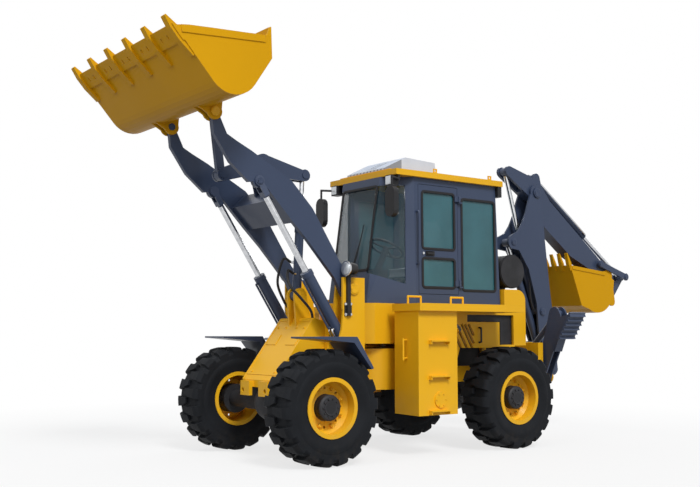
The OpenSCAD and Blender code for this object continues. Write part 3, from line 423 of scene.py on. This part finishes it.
def make_finishes():
    look = settings()[0]
    yellow, slate, iron = tuple(look.body_paint), tuple(look.arm_paint), tuple(look.iron)
    FINISHES["yellow_paint"] = painted("body_paint", yellow)
    # Buckets: a darker yellow that is partly painted shade, with more chips and dust than the body
    for node in ("loader_bucket", "digger_bucket"):
        FINISHES[node] = painted(node + "_paint", tuple(look.shaded_bucket_paint), gloss=0.45, chips=0.5,
                                 dusty=0.25, shine=0.08)
    FINISHES["rim_paint"] = painted("rim_paint", yellow, gloss=0.42, dusty=0.2, hub=0.124)
    FINISHES["slate_paint"] = painted("arm_paint", slate, gloss=0.33, chips=0.15, dusty=0.08)
    for node in ("bellcrank_pin", "bucket_pins", "link_pin"):
        FINISHES[node] = FINISHES["slate_paint"]
    FINISHES["black_paint"] = cast_iron("iron", iron)
    FINISHES["tyre_rubber"] = tyre_rubber("tyre_rubber", tuple(look.rubber))
    FINISHES["rod_chrome"] = chrome("rod_chrome")
    for node, eye in ROD_EYES.items():
        FINISHES[node] = chrome("plated_" + node, eye)
    FINISHES["glass"] = window_glass("window_glass", tuple(look.glass), tuple(look.windscreen))
    FINISHES["seat_cover"] = seat_cloth("seat_cloth", tuple(look.cloth))
    FINISHES["pale_plastic"] = roof_housing("pale_housing", tuple(look.pale))
    FINISHES["console"] = moulded("console_plastic", (0.080, 0.085, 0.090), 0.5)
    FINISHES["black_plastic"] = moulded("black_plastic", (0.014, 0.014, 0.016), 0.45)
    FINISHES["lens"] = lamp_lens("lamp_lens", (0.62, 0.65, 0.68))
    FINISHES["mirror"] = chrome("mirror_glass")
    FINISHES["seal"] = moulded("window_seal", (0.010, 0.010, 0.012), 0.6)
    FINISHES["hose"] = hose_rubber("hose_rubber", (0.012, 0.012, 0.013))


# Modelling by operators

def clear_selection():
    if bpy.context.object and bpy.context.object.mode != "OBJECT":
        bpy.ops.object.mode_set(mode="OBJECT")
    bpy.ops.object.select_all(action="DESELECT")


def activate(piece):
    """Makes a piece the only one that is selected"""
    clear_selection()
    piece.select_set(True)
    bpy.context.view_layer.objects.active = piece


def start(kind, name, **size):
    """Adds a primitive, all of it selected, and returns its object"""
    clear_selection()
    getattr(bpy.ops.mesh, "primitive_" + kind + "_add")(**size)
    made = bpy.context.object
    made.name = name
    bpy.ops.object.transform_apply(location=True, rotation=True, scale=True)
    return made


def edit(piece, faces):
    """Enters edit mode with only the wanted faces selected"""
    activate(piece)
    bpy.ops.object.mode_set(mode="EDIT")
    bpy.ops.mesh.select_mode(type="FACE")
    bpy.ops.mesh.select_all(action="DESELECT")
    bpy.ops.object.mode_set(mode="OBJECT")
    for face in piece.data.polygons:
        face.select = faces(face)
    bpy.ops.object.mode_set(mode="EDIT")


def leave():
    bpy.ops.object.mode_set(mode="OBJECT")


def top_face(face):
    return face.normal.z > 0.9


def every_face(face):
    return True


def stepped(name, vertices, radius, depth, at, steps):
    """A disc or prism with a stepped top: each step has a width, a slope and a straight rise"""
    made = start("cylinder", name, vertices=vertices, radius=radius, depth=depth, location=at)
    edit(made, top_face)
    for width, slope, rise in steps:
        bpy.ops.mesh.inset(thickness=width, depth=slope)
        if rise:
            bpy.ops.mesh.extrude_region_move(TRANSFORM_OT_translate={"value": (0, 0, rise)})
    leave()
    return made


def apply_modifier(piece, kind, **values):
    activate(piece)
    added = piece.modifiers.new(kind.lower(), kind)
    for key, value in values.items():
        setattr(added, key, value)
    bpy.ops.object.modifier_apply(modifier=added.name)


def rounded(piece, width, angle=30.0):
    apply_modifier(piece, "BEVEL", width=width, segments=2, limit_method="ANGLE",
                   angle_limit=math.radians(angle))


def smooth(piece, angle=35.0):
    activate(piece)
    bpy.ops.object.shade_smooth_by_angle(angle=math.radians(angle))


def copy_to(piece, name, turn, at):
    """A copy with its own mesh, turned and placed in its mesh"""
    made = piece.copy()
    made.data = piece.data.copy()
    made.name = name
    bpy.context.scene.collection.objects.link(made)
    made.data.transform(Matrix.Translation(Vector(at)) @ turn.to_4x4())
    if turn.to_3x3().determinant() < 0:
        made.data.flip_normals()
    made.data.update()
    return made


def joined(pieces, name):
    clear_selection()
    for piece in pieces:
        piece.select_set(True)
    bpy.context.view_layer.objects.active = pieces[0]
    bpy.ops.object.join()
    pieces[0].name = name
    return pieces[0]


def drop(piece):
    bpy.data.objects.remove(piece)


def dress(piece, finish, body):
    """Gives a piece its material, the body it rides, if it rides only one"""
    piece.data.materials.clear()
    piece.data.materials.append(FINISHES[finish])
    if body:
        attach(piece, body)
    return piece


TO_LEFT = Matrix.Rotation(math.radians(-90), 3, "X")
TO_RIGHT = Matrix.Rotation(math.radians(90), 3, "X")
TO_FRONT = Matrix.Rotation(math.radians(90), 3, "Y")
UPRIGHT = Matrix.Identity(3)


def outward(side):
    return TO_LEFT if side > 0 else TO_RIGHT


class LOADER_OT_paint(bpy.types.Operator):
    """Gives every solid the finish of its material slot"""
    bl_idname = "loader.paint"
    bl_label = "Paint the solids"

    def execute(self, context):
        make_finishes()
        for part in frame["record"]["subparts"]:
            piece = NODES[part["node"]]
            piece.data.materials.clear()
            piece.data.materials.append(FINISHES.get(part["node"]) or FINISHES[part["material_slot"]])
        return {"FINISHED"}


class LOADER_OT_hubs(bpy.types.Operator):
    """Dark stepped hub covers and a ring of wheel nuts on each wheel"""
    bl_idname = "loader.hubs"
    bl_label = "Hubs and wheel nuts"

    def execute(self, context):
        size = settings()[1]
        hub = stepped("hub", 64, size.hub_r, 0.080, (0, 0, 0.087), (
            (0.020, 0.014, 0), (0.030, 0, 0.010), (0.018, -0.006, 0)))
        rounded(hub, 0.004)
        bolt = stepped("hub_bolt", 6, 0.009, 0.012, (0, 0, 0), ((0.002, 0.002, 0),))
        ring = self.circle(bolt, 10, 0.082, 0.145)
        hub = joined([hub] + ring, "hub")
        smooth(hub)
        nut = stepped("nut", 6, size.nut_r, 0.030, (0, 0, 0.052), ((0.004, 0.003, 0), (0.004, 0, 0.010)))
        nuts = joined(self.circle(nut, 8, size.nut_circle, 0, 0.39), "nuts")
        for wheel in WHEELS:
            low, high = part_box("rim_" + wheel)
            centre = (low + high) / 2
            side = 1 if centre.y > 0 else -1
            for piece, name, finish in ((hub, "hub_cover_", "black_paint"),
                                        (nuts, "wheel_nuts_", "rim_paint")):
                fitted = copy_to(piece, name + wheel, outward(side), centre)
                dress(fitted, finish, "wheel_" + wheel)
        drop(hub)
        drop(nuts)
        return {"FINISHED"}

    def circle(self, piece, count, radius, z, turn=0.0):
        """Copies of a piece round the wheel's axis; the piece itself goes"""
        angles = [i * math.pi / (count / 2) + turn for i in range(count)]
        copies = [copy_to(piece, "%s_%d" % (piece.name, i), UPRIGHT,
                          (radius * math.cos(angle), radius * math.sin(angle), z))
                  for i, angle in enumerate(angles)]
        drop(piece)
        return copies


class LOADER_OT_lamps(bpy.types.Operator):
    """Fluted lenses in the headlamps and work lamps, and glass in the mirrors"""
    bl_idname = "loader.lamps"
    bl_label = "Lamps and mirrors"

    def execute(self, context):
        size = settings()[1]
        lens = stepped("lens", 48, size.lens_r, 0.012, (0, 0, 0), ((0.012, 0.006, 0), (0.020, 0.004, 0)))
        rounded(lens, 0.002)
        smooth(lens)
        bezel = stepped("bezel", 48, 0.076, 0.022, (0, 0, 0), ((0.009, 0, -0.012),))
        rounded(bezel, 0.003)
        smooth(bezel)
        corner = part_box("headlamps")[1]
        inwards = 0.072
        for side, name in SIDES:
            at = Vector((corner.x, side * (corner.y - inwards), corner.z - inwards))
            ring = copy_to(bezel, "headlamp_bezel_" + name, TO_FRONT, at)
            dress(ring, "rod_chrome", "front")
            at.x += 0.004
            dress(copy_to(lens, "headlamp_lens_" + name, TO_FRONT, at), "lens", "front")
        drop(lens)
        drop(bezel)
        for side, name in SIDES:
            for kind, finish, at, spread in (
                    ("mirror_glass_", "mirror", (0.158, side * 0.625, 2.565), (0.006, 0.124, 0.262)),
                    ("work_lamp_lens_", "lens", (0.122, side * 0.485, 2.807), (0.010, 0.088, 0.088)),
                    ("rear_lamp_lens_", "lens", (-1.442, side * 0.520, 2.802), (0.010, 0.098, 0.098))):
                pane = start("cube", kind + name, size=1, location=at, scale=spread)
                edit(pane, lambda face: abs(face.normal.x) > 0.9)
                bpy.ops.mesh.inset(thickness=0.008, depth=0.002, use_individual=True)
                leave()
                rounded(pane, 0.002)
                dress(pane, finish, "rear")
        return {"FINISHED"}


def wall_y(z):
    """Outer face of the cab's side wall at a height"""
    return WALL_Y - WALL_LEAN * (z - SILL_Z)


def screen_x(z):
    """Outer face of the cab's windscreen wall at a height"""
    return SCREEN_X - SCREEN_LEAN * (z - SILL_Z)


class LOADER_OT_seals(bpy.types.Operator):
    """Black rubber seals round the cab's windows"""
    bl_idname = "loader.seals"
    bl_label = "Window seals"

    def execute(self, context):
        for name, body, side, x0, x1, z0, z1 in (
                ("door_low", "door", 1, -0.740, -0.282, 1.700, 2.010),
                ("door_high", "door", 1, -0.740, -0.282, 2.110, 2.720),
                ("rear_left", "rear", 1, -1.350, -0.850, 1.680, 2.680),
                ("rear_right", "rear", -1, -1.350, -0.850, 1.680, 2.680),
                ("front_right", "rear", -1, -0.770, -0.250, 1.680, 2.720)):
            high = (z0 + z1) / 2
            self.seal("seal_" + name, body, ((x0 + x1) / 2, side * wall_y(high), high),
                      (-side, 0, 0), (0, -side * WALL_LEAN, 1), x1 - x0, z1 - z0)
        self.seal("seal_windscreen", "rear", (screen_x(2.32), 0, 2.32), (0, 1, 0),
                  (-SCREEN_LEAN, 0, 1), 0.60, 0.90)
        self.seal("seal_back", "rear", (-1.3919, 0, 2.275), (0, -1, 0), (BACK_LEAN, 0, 1), 0.94, 0.85)
        return {"FINISHED"}

    def seal(self, name, body, centre, across, up, wide, tall):
        """A rounded ring of one width that stands half proud of the wall round an opening"""
        width, thick, corner = 0.028, 0.014, 0.045
        across, up = Vector(across).normalized(), Vector(up).normalized()
        out = across.cross(up)
        ring = start("plane", name, size=1)
        ring.data.transform(Matrix.Diagonal((wide + width, tall + width, 1, 1)))
        edit(ring, every_face)
        bpy.ops.mesh.bevel(affect="VERTICES", offset=corner, segments=4)
        leave()
        edit(ring, every_face)
        bpy.ops.mesh.inset(thickness=width)
        bpy.ops.mesh.delete(type="FACE")
        leave()
        turn = Matrix((across, up, out)).transposed().to_4x4()
        ring.data.transform(Matrix.Translation(Vector(centre) + out * thick / 2) @ turn)
        apply_modifier(ring, "SOLIDIFY", thickness=thick, offset=-1.0)
        rounded(ring, 0.003)
        smooth(ring)
        dress(ring, "seal", body)


def bent(points, steps=8):
    """Points of a smooth line through the given ones"""
    ends = [2 * Vector(points[0]) - Vector(points[1]), *(Vector(at) for at in points),
            2 * Vector(points[-1]) - Vector(points[-2])]
    line = []
    for a, b, c, d in zip(ends, ends[1:], ends[2:], ends[3:]):
        for i in range(steps):
            t = i / steps
            line.append(0.5 * (2 * b + (c - a) * t + (2 * a - 5 * b + 4 * c - d) * t * t
                               + (3 * b - a - 3 * c + d) * t ** 3))
    return line + [Vector(points[-1])]


def tube(name, line, radius):
    """A round bar or pipe along a line of points"""
    path = bpy.data.curves.new(name, "CURVE")
    path.dimensions = "3D"
    path.bevel_depth = radius
    path.bevel_resolution = 3
    path.use_fill_caps = True
    run = path.splines.new("POLY")
    run.points.add(len(line) - 1)
    for point, at in zip(run.points, line):
        point.co = (*at, 1.0)
    made = bpy.data.objects.new(name, path)
    bpy.context.scene.collection.objects.link(made)
    activate(made)
    bpy.ops.object.convert(target="MESH")
    made = bpy.context.object
    smooth(made)
    return made


def both_ways(points, side):
    """Points of the left side, or the same on the right"""
    return [(x, side * y, z) for x, y, z in points]


class LOADER_OT_handles(bpy.types.Operator):
    """Door handle, grab bar, hood handles, wiper and fuel cap"""
    bl_idname = "loader.handles"
    bl_label = "Handles and small fittings"

    def execute(self, context):
        rail = 2.060
        plate = start("cube", "door_handle", size=1, location=(-0.385, wall_y(rail) + 0.004, rail),
                      scale=(0.120, 0.016, 0.050))
        edit(plate, lambda face: face.normal.y > 0.9)
        bpy.ops.mesh.inset(thickness=0.010, depth=-0.006)
        bpy.ops.mesh.inset(thickness=0.004)
        bpy.ops.mesh.extrude_region_move(TRANSFORM_OT_translate={"value": (0, 0.014, 0)})
        leave()
        rounded(plate, 0.003)
        dress(plate, "black_plastic", "door")
        lock = start("cylinder", "door_lock", vertices=24, radius=0.014, depth=0.014,
                     location=(-0.292, wall_y(rail) + 0.003, rail), rotation=(math.radians(-90), 0, 0))
        edit(lock, lambda face: face.normal.y > 0.9)
        bpy.ops.mesh.inset(thickness=0.005, depth=-0.002)
        leave()
        rounded(lock, 0.001)
        dress(lock, "rod_chrome", "door")
        bar = [(-0.205, 0.545, 1.94), (-0.205, 0.580, 1.95), (-0.205, 0.592, 1.99),
               (-0.205, 0.590, 2.45), (-0.205, 0.576, 2.49), (-0.205, 0.540, 2.50)]
        hold = [(-1.043, 0.585, 1.118), (-1.043, 0.628, 1.122), (-1.043, 0.636, 1.140),
                (-1.043, 0.636, 1.256), (-1.043, 0.628, 1.274), (-1.043, 0.585, 1.278)]
        for side, name in SIDES:
            for kind, line, radius, finish in (("grab_bar_", bar, 0.011, "slate_paint"),
                                               ("hood_handle_", hold, 0.010, "black_plastic")):
                dress(tube(kind + name, bent(both_ways(line, side), 4), radius), finish, "rear")
        cap = stepped("fuel_cap", 12, 0.059, 0.036, (0, 0, 0.122), ((0.014, 0.006, 0), (0.020, -0.003, 0)))
        rounded(cap, 0.004)
        lean = Matrix.Rotation(math.radians(-50), 4, "Y")
        cap.data.transform(Matrix.Translation((-0.330, 0.900, 1.190)) @ lean)
        dress(cap, "black_plastic", "rear")
        self.wiper()
        return {"FINISHED"}

    def wiper(self):
        """An arm from the sill and a blade across the windscreen"""
        foot, tip = (0.06, 1.845), (0.16, 2.36)
        arm = [(screen_x(z) + gap, y, z) for y, z, gap in (
            (*foot, -0.010), (0.065, 1.850, 0.030), (0.085, 1.95, 0.034), (0.115, 2.12, 0.022))]
        blade = [(screen_x(z) + 0.012, y, z) for y, z in ((0.070, 1.93), (0.115, 2.14), tip)]
        parts = [tube("wiper", bent(arm, 4), 0.007), tube("wiper_blade", bent(blade, 4), 0.006)]
        dress(joined(parts, "wiper"), "black_plastic", "rear")


class LOADER_OT_bolts(bpy.types.Operator):
    """Bolt heads on washers at the lamp plates and the nose"""
    bl_idname = "loader.bolts"
    bl_label = "Bolts"

    def execute(self, context):
        size = settings()[1]
        bolt = start("cylinder", "bolt", vertices=6, radius=size.bolt_r, depth=0.010, location=(0, 0, 0.007))
        edit(bolt, lambda face: face.normal.z < -0.9)
        bpy.ops.mesh.extrude_region_move(TRANSFORM_OT_translate={"value": (0, 0, -0.001)})
        bpy.ops.transform.resize(value=(1.5, 1.5, 1))
        bpy.ops.mesh.extrude_region_move(TRANSFORM_OT_translate={"value": (0, 0, -0.006)})
        leave()
        smooth(bolt, 25)
        plates = [copy_to(bolt, "plate_bolt", outward(side), (x, side * 0.542, z))
                  for side in (1, -1) for x in (0.653, 0.712) for z in (1.404, 1.506)]
        dress(joined(plates, "lamp_plate_bolts"), "rod_chrome", "front")
        low_edge, slope, facing = (1.385, 0.7595), Vector((-0.5976, 0, 0.8018)), Vector((0.8018, 0, 0.5976))
        turn = facing.to_track_quat("Z", "Y").to_matrix()
        nose = [copy_to(bolt, "nose_bolt", turn, Vector((low_edge[0], spread, low_edge[1])) + slope * along)
                for along, spreads in ((0.095, (-0.21, 0.21)), (0.640, (-0.24, -0.10, 0.10, 0.24)))
                for spread in spreads]
        dress(joined(nose, "nose_bolts"), "yellow_paint", "front")
        drop(bolt)
        return {"FINISHED"}


# Pins that get caps: the body, the finish, and each pin's centre, its end to the left and the cap's radius
PIN_ENDS = (
    ("front", "yellow_paint", ((ARM_PIVOT, 0.540, 0.060), (LIFT_BASE, 0.536, 0.050))),
    ("level", "yellow_paint", ((BUCKET_HINGE, 0.502, 0.046),)),
    ("lift_rods", "slate_paint", ((LIFT_EYE, 0.484, 0.040),)),
    ("boom", "slate_paint", ((BOOM_TIP, 0.127, 0.060), (STICK_BASE, 0.123, 0.046),
                             (BOOM_EYE, 0.115, 0.044))),
    ("swing_post", "slate_paint", ((BOOM_FOOT, 0.125, 0.052),)),
    ("stick", "slate_paint", ((ROCKER_PIN, 0.134, 0.046),)),
    ("rocker", "slate_paint", ((CURL_EYE, 0.130, 0.038),)),
)


class LOADER_OT_pins(bpy.types.Operator):
    """Stepped caps with a lock bolt on the ends of the linkage pins"""
    bl_idname = "loader.pins"
    bl_label = "Pin caps"

    def execute(self, context):
        usual = 0.050
        cap = stepped("cap", 40, usual, 0.012, (0, 0, 0), ((0.012, 0, 0.005), (0.020, -0.004, 0)))
        rounded(cap, 0.0015)
        bolt = stepped("cap_bolt", 6, 0.008, 0.012, (0.029, 0, 0.010), ((0.002, 0.001, 0),))
        cap = joined([cap, bolt], "cap")
        smooth(cap)
        for body, finish, ends in PIN_ENDS:
            caps = []
            for (x, z), y, radius in ends:
                spread = Matrix.Diagonal((radius / usual, radius / usual, 1))
                caps += [copy_to(cap, "cap", outward(side) @ spread, (x, side * y, z)) for side in (1, -1)]
            dress(joined(caps, "pin_caps_" + body), finish, body)
        drop(cap)
        return {"FINISHED"}


def along_ram(base, eye, y):
    """Places beside a cylinder: so far along it, so far out from its axis, so far across"""
    base, eye = Vector((base[0], 0, base[1])), Vector((eye[0], 0, eye[1]))
    way = (eye - base).normalized()
    out = Vector((way.z, 0, -way.x))
    return lambda far, off, across=0.0: base + way * far + out * off + Vector((0, y + across, 0))


class LOADER_OT_lines(bpy.types.Operator):
    """Hydraulic pipes and hoses of the cylinders"""
    bl_idname = "loader.lines"
    bl_label = "Hydraulic lines"

    def execute(self, context):
        for side, name in SIDES:
            self.lift_lines(side, name)
        self.tilt_hoses()
        self.curl_lines()
        self.boom_hoses()
        return {"FINISHED"}

    def hose(self, name, points, radius, body, other=None):
        """A hose that rides one body, or runs between two and rides neither"""
        line = bent(points)
        piece = dress(tube(name, line, radius), "hose", None if other else body)
        reach = sum((b - a).length for a, b in zip(line, line[1:]))
        if other:
            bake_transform(piece)

    def pipe(self, name, points, radius, body, finish="slate_paint"):
        dress(tube(name, bent(points), radius), finish, body)

    def lift_lines(self, side, name):
        at = along_ram(LIFT_BASE, LIFT_EYE, side * ARM_Y)
        self.pipe("lift_pipe_" + name, [at(0.36, 0.050), at(0.36, 0.074), at(0.40, 0.078), at(0.86, 0.078),
                                        at(0.90, 0.074), at(0.91, 0.050)], 0.011, "lift_barrels")
        for across, mark in ((-0.024, "a"), (0.024, "b")):
            self.pipe("lift_elbow_%s_%s" % (name, mark), [
                at(0.330, 0.045, across), at(0.328, 0.063, across), at(0.300, 0.071, across),
                at(0.220, 0.071, across)], 0.0125, "lift_barrels", "rod_chrome")
            self.hose("lift_hose_%s_%s" % (name, mark), [
                at(0.220, 0.071, across), at(0.160, 0.071, across), at(0.100, 0.070, across),
                at(0.040, 0.064, across)], 0.0105, "lift_barrels")

    def tilt_hoses(self):
        for side, name, high in ((1, "left", 0.22), (-1, "right", 0.34)):
            at = along_ram(TILT_BASE, TILT_EYE, 0.0)
            self.pipe("tilt_port_" + name, [
                at(high, 0.036, side * 0.020), at(high, 0.054, side * 0.024), at(high, 0.070, side * 0.028)],
                0.014, "tilt_barrel", "rod_chrome")
            self.hose("tilt_hose_" + name, [
                (0.870, side * 0.190, 1.330), (0.890, side * 0.190, 1.440), (0.990, side * 0.170, 1.560),
                (1.100, side * 0.110, 1.640 + high * 0.3), at(high + 0.02, 0.150, side * 0.050),
                at(high, 0.070, side * 0.028)], 0.0135, "front", "tilt_barrel")

    def curl_lines(self):
        for side, name in SIDES:
            at = along_ram(CURL_BASE, CURL_EYE, 0.0)
            self.pipe("curl_pipe_" + name, [
                at(0.14, 0.0, side * 0.040), at(0.15, 0.0, side * 0.066), at(0.20, 0.0, side * 0.070),
                at(1.05, 0.0, side * 0.070), at(1.08, 0.0, side * 0.064), at(1.085, 0.0, side * 0.040)],
                0.010, "curl_barrel", "rod_chrome")
            self.hose("curl_hose_" + name, [
                at(0.62, -0.042, side * 0.012), at(0.58, -0.078, side * 0.018),
                at(0.46, -0.092, side * 0.020), at(0.26, -0.112, side * 0.024),
                at(0.06, -0.122, side * 0.028), at(-0.06, -0.090, side * 0.030),
                at(-0.10, -0.030, side * 0.030)], 0.011, "curl_barrel")

    def boom_hoses(self):
        run = [(-2.760, 1.440), (-2.660, 1.400), (-2.540, 1.440), (-2.450, 1.560),
               (-2.420, 1.720), (-2.440, 1.900), (-2.520, 2.040), (-2.640, 2.110)]
        for side, name in SIDES:
            self.hose("boom_hose_" + name, [(x, side * 0.072, z) for x, z in run], 0.0125, "boom")


def cushion(name, at, spread):
    """A crowned pad with two sewn channels, whose sides pull in between its corners"""
    crown_height, pull_in, channel_depth, channel_at, channel_width = 0.018, 0.035, 0.008, 0.45, 0.05
    pad = start("cube", name, size=1, location=at, scale=spread)
    edit(pad, every_face)
    bpy.ops.mesh.subdivide(number_cuts=6)
    leave()
    centre = Vector(at)
    for point in pad.data.vertices:
        offset = point.co - centre
        u, v, w = (offset[i] / spread[i] * 2 for i in range(3))
        if w > 0:
            point.co.z += crown_height * (1 - u * u) * (1 - v * v)
        pull = pull_in * (1 - w * w)
        point.co.x -= offset.x * pull
        point.co.y -= offset.y * pull
        if w > 0.9:
            point.co.z -= channel_depth * math.exp(-((abs(v) - channel_at) / channel_width) ** 2)
    rounded(pad, 0.012, 50)
    apply_modifier(pad, "SUBSURF", levels=1, render_levels=1)
    smooth(pad, 60)
    return pad


class LOADER_OT_seat(bpy.types.Operator):
    """The driver's seat: a padded cushion, a padded back and the base under them"""
    bl_idname = "loader.seat"
    bl_label = "Seat"

    def execute(self, context):
        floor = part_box("seat")[0].z
        base = start("cube", "seat_base", size=1, location=(-0.700, 0, floor + 0.135),
                     scale=(0.30, 0.32, 0.25))
        edit(base, lambda face: abs(face.normal.z) < 0.1)
        bpy.ops.mesh.inset(thickness=0.03, depth=-0.012, use_individual=True)
        leave()
        rounded(base, 0.006)
        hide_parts("seat")
        dress(base, "black_plastic", "rear")
        squab = cushion("seat_cushion", (-0.690, 0, floor + 0.325), (0.48, 0.48, 0.10))
        dress(squab, "seat_cover", "rear")
        back = cushion("seat_back", (0, 0, 0), (0.52, 0.46, 0.09))
        lean = Matrix.Rotation(math.radians(98), 4, "Y")
        back.data.transform(Matrix.Translation((-0.895, 0, floor + 0.660)) @ lean)
        dress(back, "seat_cover", "rear")
        return {"FINISHED"}


# Lamps of the stage: kind, name, place, power, and the sun's angle or the side of a lamp's square.
# All face one point in the machine. The dome is inside the cab, behind tinted glass.
LIT_POINT = (0, 0, 1.4)
LAMPS = (
    ("SUN", "sun", (1.5, 7.0, 9.0), 2.3, math.radians(18)),
    ("AREA", "key", (8.0, 3.0, 7.0), 230, 6.0),
    ("AREA", "fill", (2.5, 10.0, 3.0), 110, 7.0),
    ("AREA", "rim", (-9.0, -5.0, 6.0), 220, 5.0),
    ("AREA", "dome", (-0.35, 0.0, 2.72), 7, 0.4),
)


class LOADER_OT_stage(bpy.types.Operator):
    """Pale floor, soft studio light and the camera"""
    bl_idname = "loader.stage"
    bl_label = "Stage"

    def execute(self, context):
        stage = settings()[2]
        scene = context.scene
        floor = start("plane", "floor", size=120, location=(0, 0, 0))
        edit(floor, every_face)
        bpy.ops.mesh.subdivide(number_cuts=3)
        leave()
        floor.data.materials.append(floor_finish(tuple(stage.floor_tone)))
        for kind, name, at, power, wide in LAMPS:
            bpy.ops.object.light_add(type=kind, location=at)
            lamp = bpy.context.object
            lamp.name = name
            lamp.data.energy = power
            if kind == "SUN":
                lamp.data.angle = wide
            else:
                lamp.data.size = wide
            lamp.rotation_euler = (Vector(LIT_POINT) - Vector(at)).to_track_quat("-Z", "Y").to_euler()
        light_world(scene)
        scene.view_settings.view_transform = "Standard"
        lens = bpy.data.cameras.new("camera")
        lens.lens = stage.focal
        lens.sensor_width = 36.0
        lens.clip_end = 300.0
        camera = bpy.data.objects.new("camera", lens)
        scene.collection.objects.link(camera)
        level = math.cos(stage.pitch)
        view = Vector((math.cos(stage.yaw) * level, math.sin(stage.yaw) * level, math.sin(stage.pitch)))
        camera.location = stage.camera_at
        camera.rotation_euler = view.to_track_quat("-Z", "Y").to_euler()
        scene.camera = camera
        return {"FINISHED"}


def seen(tree):
    """1 on rays that show the background itself"""
    path = tree.nodes.new("ShaderNodeLightPath")
    total = path.outputs["Is Camera Ray"]
    for name in ("Is Glossy Ray", "Is Transmission Ray"):
        both = tree.nodes.new("ShaderNodeMath")
        both.operation = "MAXIMUM"
        tree.links.new(total, both.inputs[0])
        tree.links.new(path.outputs[name], both.inputs[1])
        total = both.outputs[0]
    return total


def floor_finish(tone):
    """Pale floor that takes the shadow near the machine, is white further out and reflects little"""
    floor = Finish("pale_floor")
    tree = floor.material.node_tree
    bounce = Value(floor, tree.nodes.new("ShaderNodeLightPath").outputs["Is Diffuse Ray"])
    floor.surface(color=floor.mix(bounce, tone, shade(tone, 0.35)), rough=0.9, specular=0.1)
    glow = floor.node("ShaderNodeEmission", {}, {"Strength": 1.0})
    x, y = floor.along("X"), floor.along("Y")
    far = (x * x + y * y).math("SQRT").clamp(4.0, 8.0)
    shown = Value(floor, seen(tree)) * (far * 0.26 + 0.74)
    mix = floor.node("ShaderNodeMixShader", {}, {0: shown, 1: floor.shader.outputs[0], 2: glow.out()})
    tree.links.new(mix.out(), tree.nodes["Material Output"].inputs["Surface"])
    return floor.material


def light_world(scene):
    """Soft light from all round, and plain white where the background itself is seen"""
    world = scene.world or bpy.data.worlds.new("studio")
    scene.world = world
    world.use_nodes = True
    tree = world.node_tree
    tree.nodes.clear()
    soft = tree.nodes.new("ShaderNodeBackground")
    soft.inputs["Color"].default_value = (0.93, 0.96, 1.0, 1.0)
    soft.inputs["Strength"].default_value = 0.42
    white = tree.nodes.new("ShaderNodeBackground")
    white.inputs["Strength"].default_value = 1.0
    white.inputs["Color"].default_value = (1, 1, 1, 1)
    mix = tree.nodes.new("ShaderNodeMixShader")
    out = tree.nodes.new("ShaderNodeOutputWorld")
    tree.links.new(seen(tree), mix.inputs[0])
    tree.links.new(soft.outputs[0], mix.inputs[1])
    tree.links.new(white.outputs[0], mix.inputs[2])
    tree.links.new(mix.outputs[0], out.inputs["Surface"])


PIECES = (LOADER_OT_stage, LOADER_OT_paint, LOADER_OT_lines, LOADER_OT_hubs, LOADER_OT_lamps,
          LOADER_OT_seals, LOADER_OT_handles, LOADER_OT_bolts, LOADER_OT_pins, LOADER_OT_seat)


class LOADER_PT_pieces(bpy.types.Panel):
    """Lists the pieces of the machine"""
    bl_idname = "LOADER_PT_pieces"
    bl_label = "Backhoe loader"
    bl_space_type = "VIEW_3D"
    bl_region_type = "UI"
    bl_category = "Loader"

    def draw(self, context):
        column = self.layout.column()
        for piece in PIECES:
            column.operator(piece.bl_idname)
        for group in settings():
            for name in group.__annotations__:
                column.prop(group, name)


CLASSES = (LoaderFinish, LoaderSizes, LoaderStage, *PIECES, LOADER_PT_pieces)


def register():
    for kind in CLASSES:
        bpy.utils.register_class(kind)
    bpy.types.Scene.loader_finish = bpy.props.PointerProperty(type=LoaderFinish)
    bpy.types.Scene.loader_sizes = bpy.props.PointerProperty(type=LoaderSizes)
    bpy.types.Scene.loader_stage = bpy.props.PointerProperty(type=LoaderStage)


def unregister():
    for name in ("loader_finish", "loader_sizes", "loader_stage"):
        delattr(bpy.types.Scene, name)
    for kind in reversed(CLASSES):
        bpy.utils.unregister_class(kind)


def main():
    register()
    for piece in PIECES:
        group, name = piece.bl_idname.split(".")
        getattr(getattr(bpy.ops, group), name)()


if __name__ == "__main__":
    main()
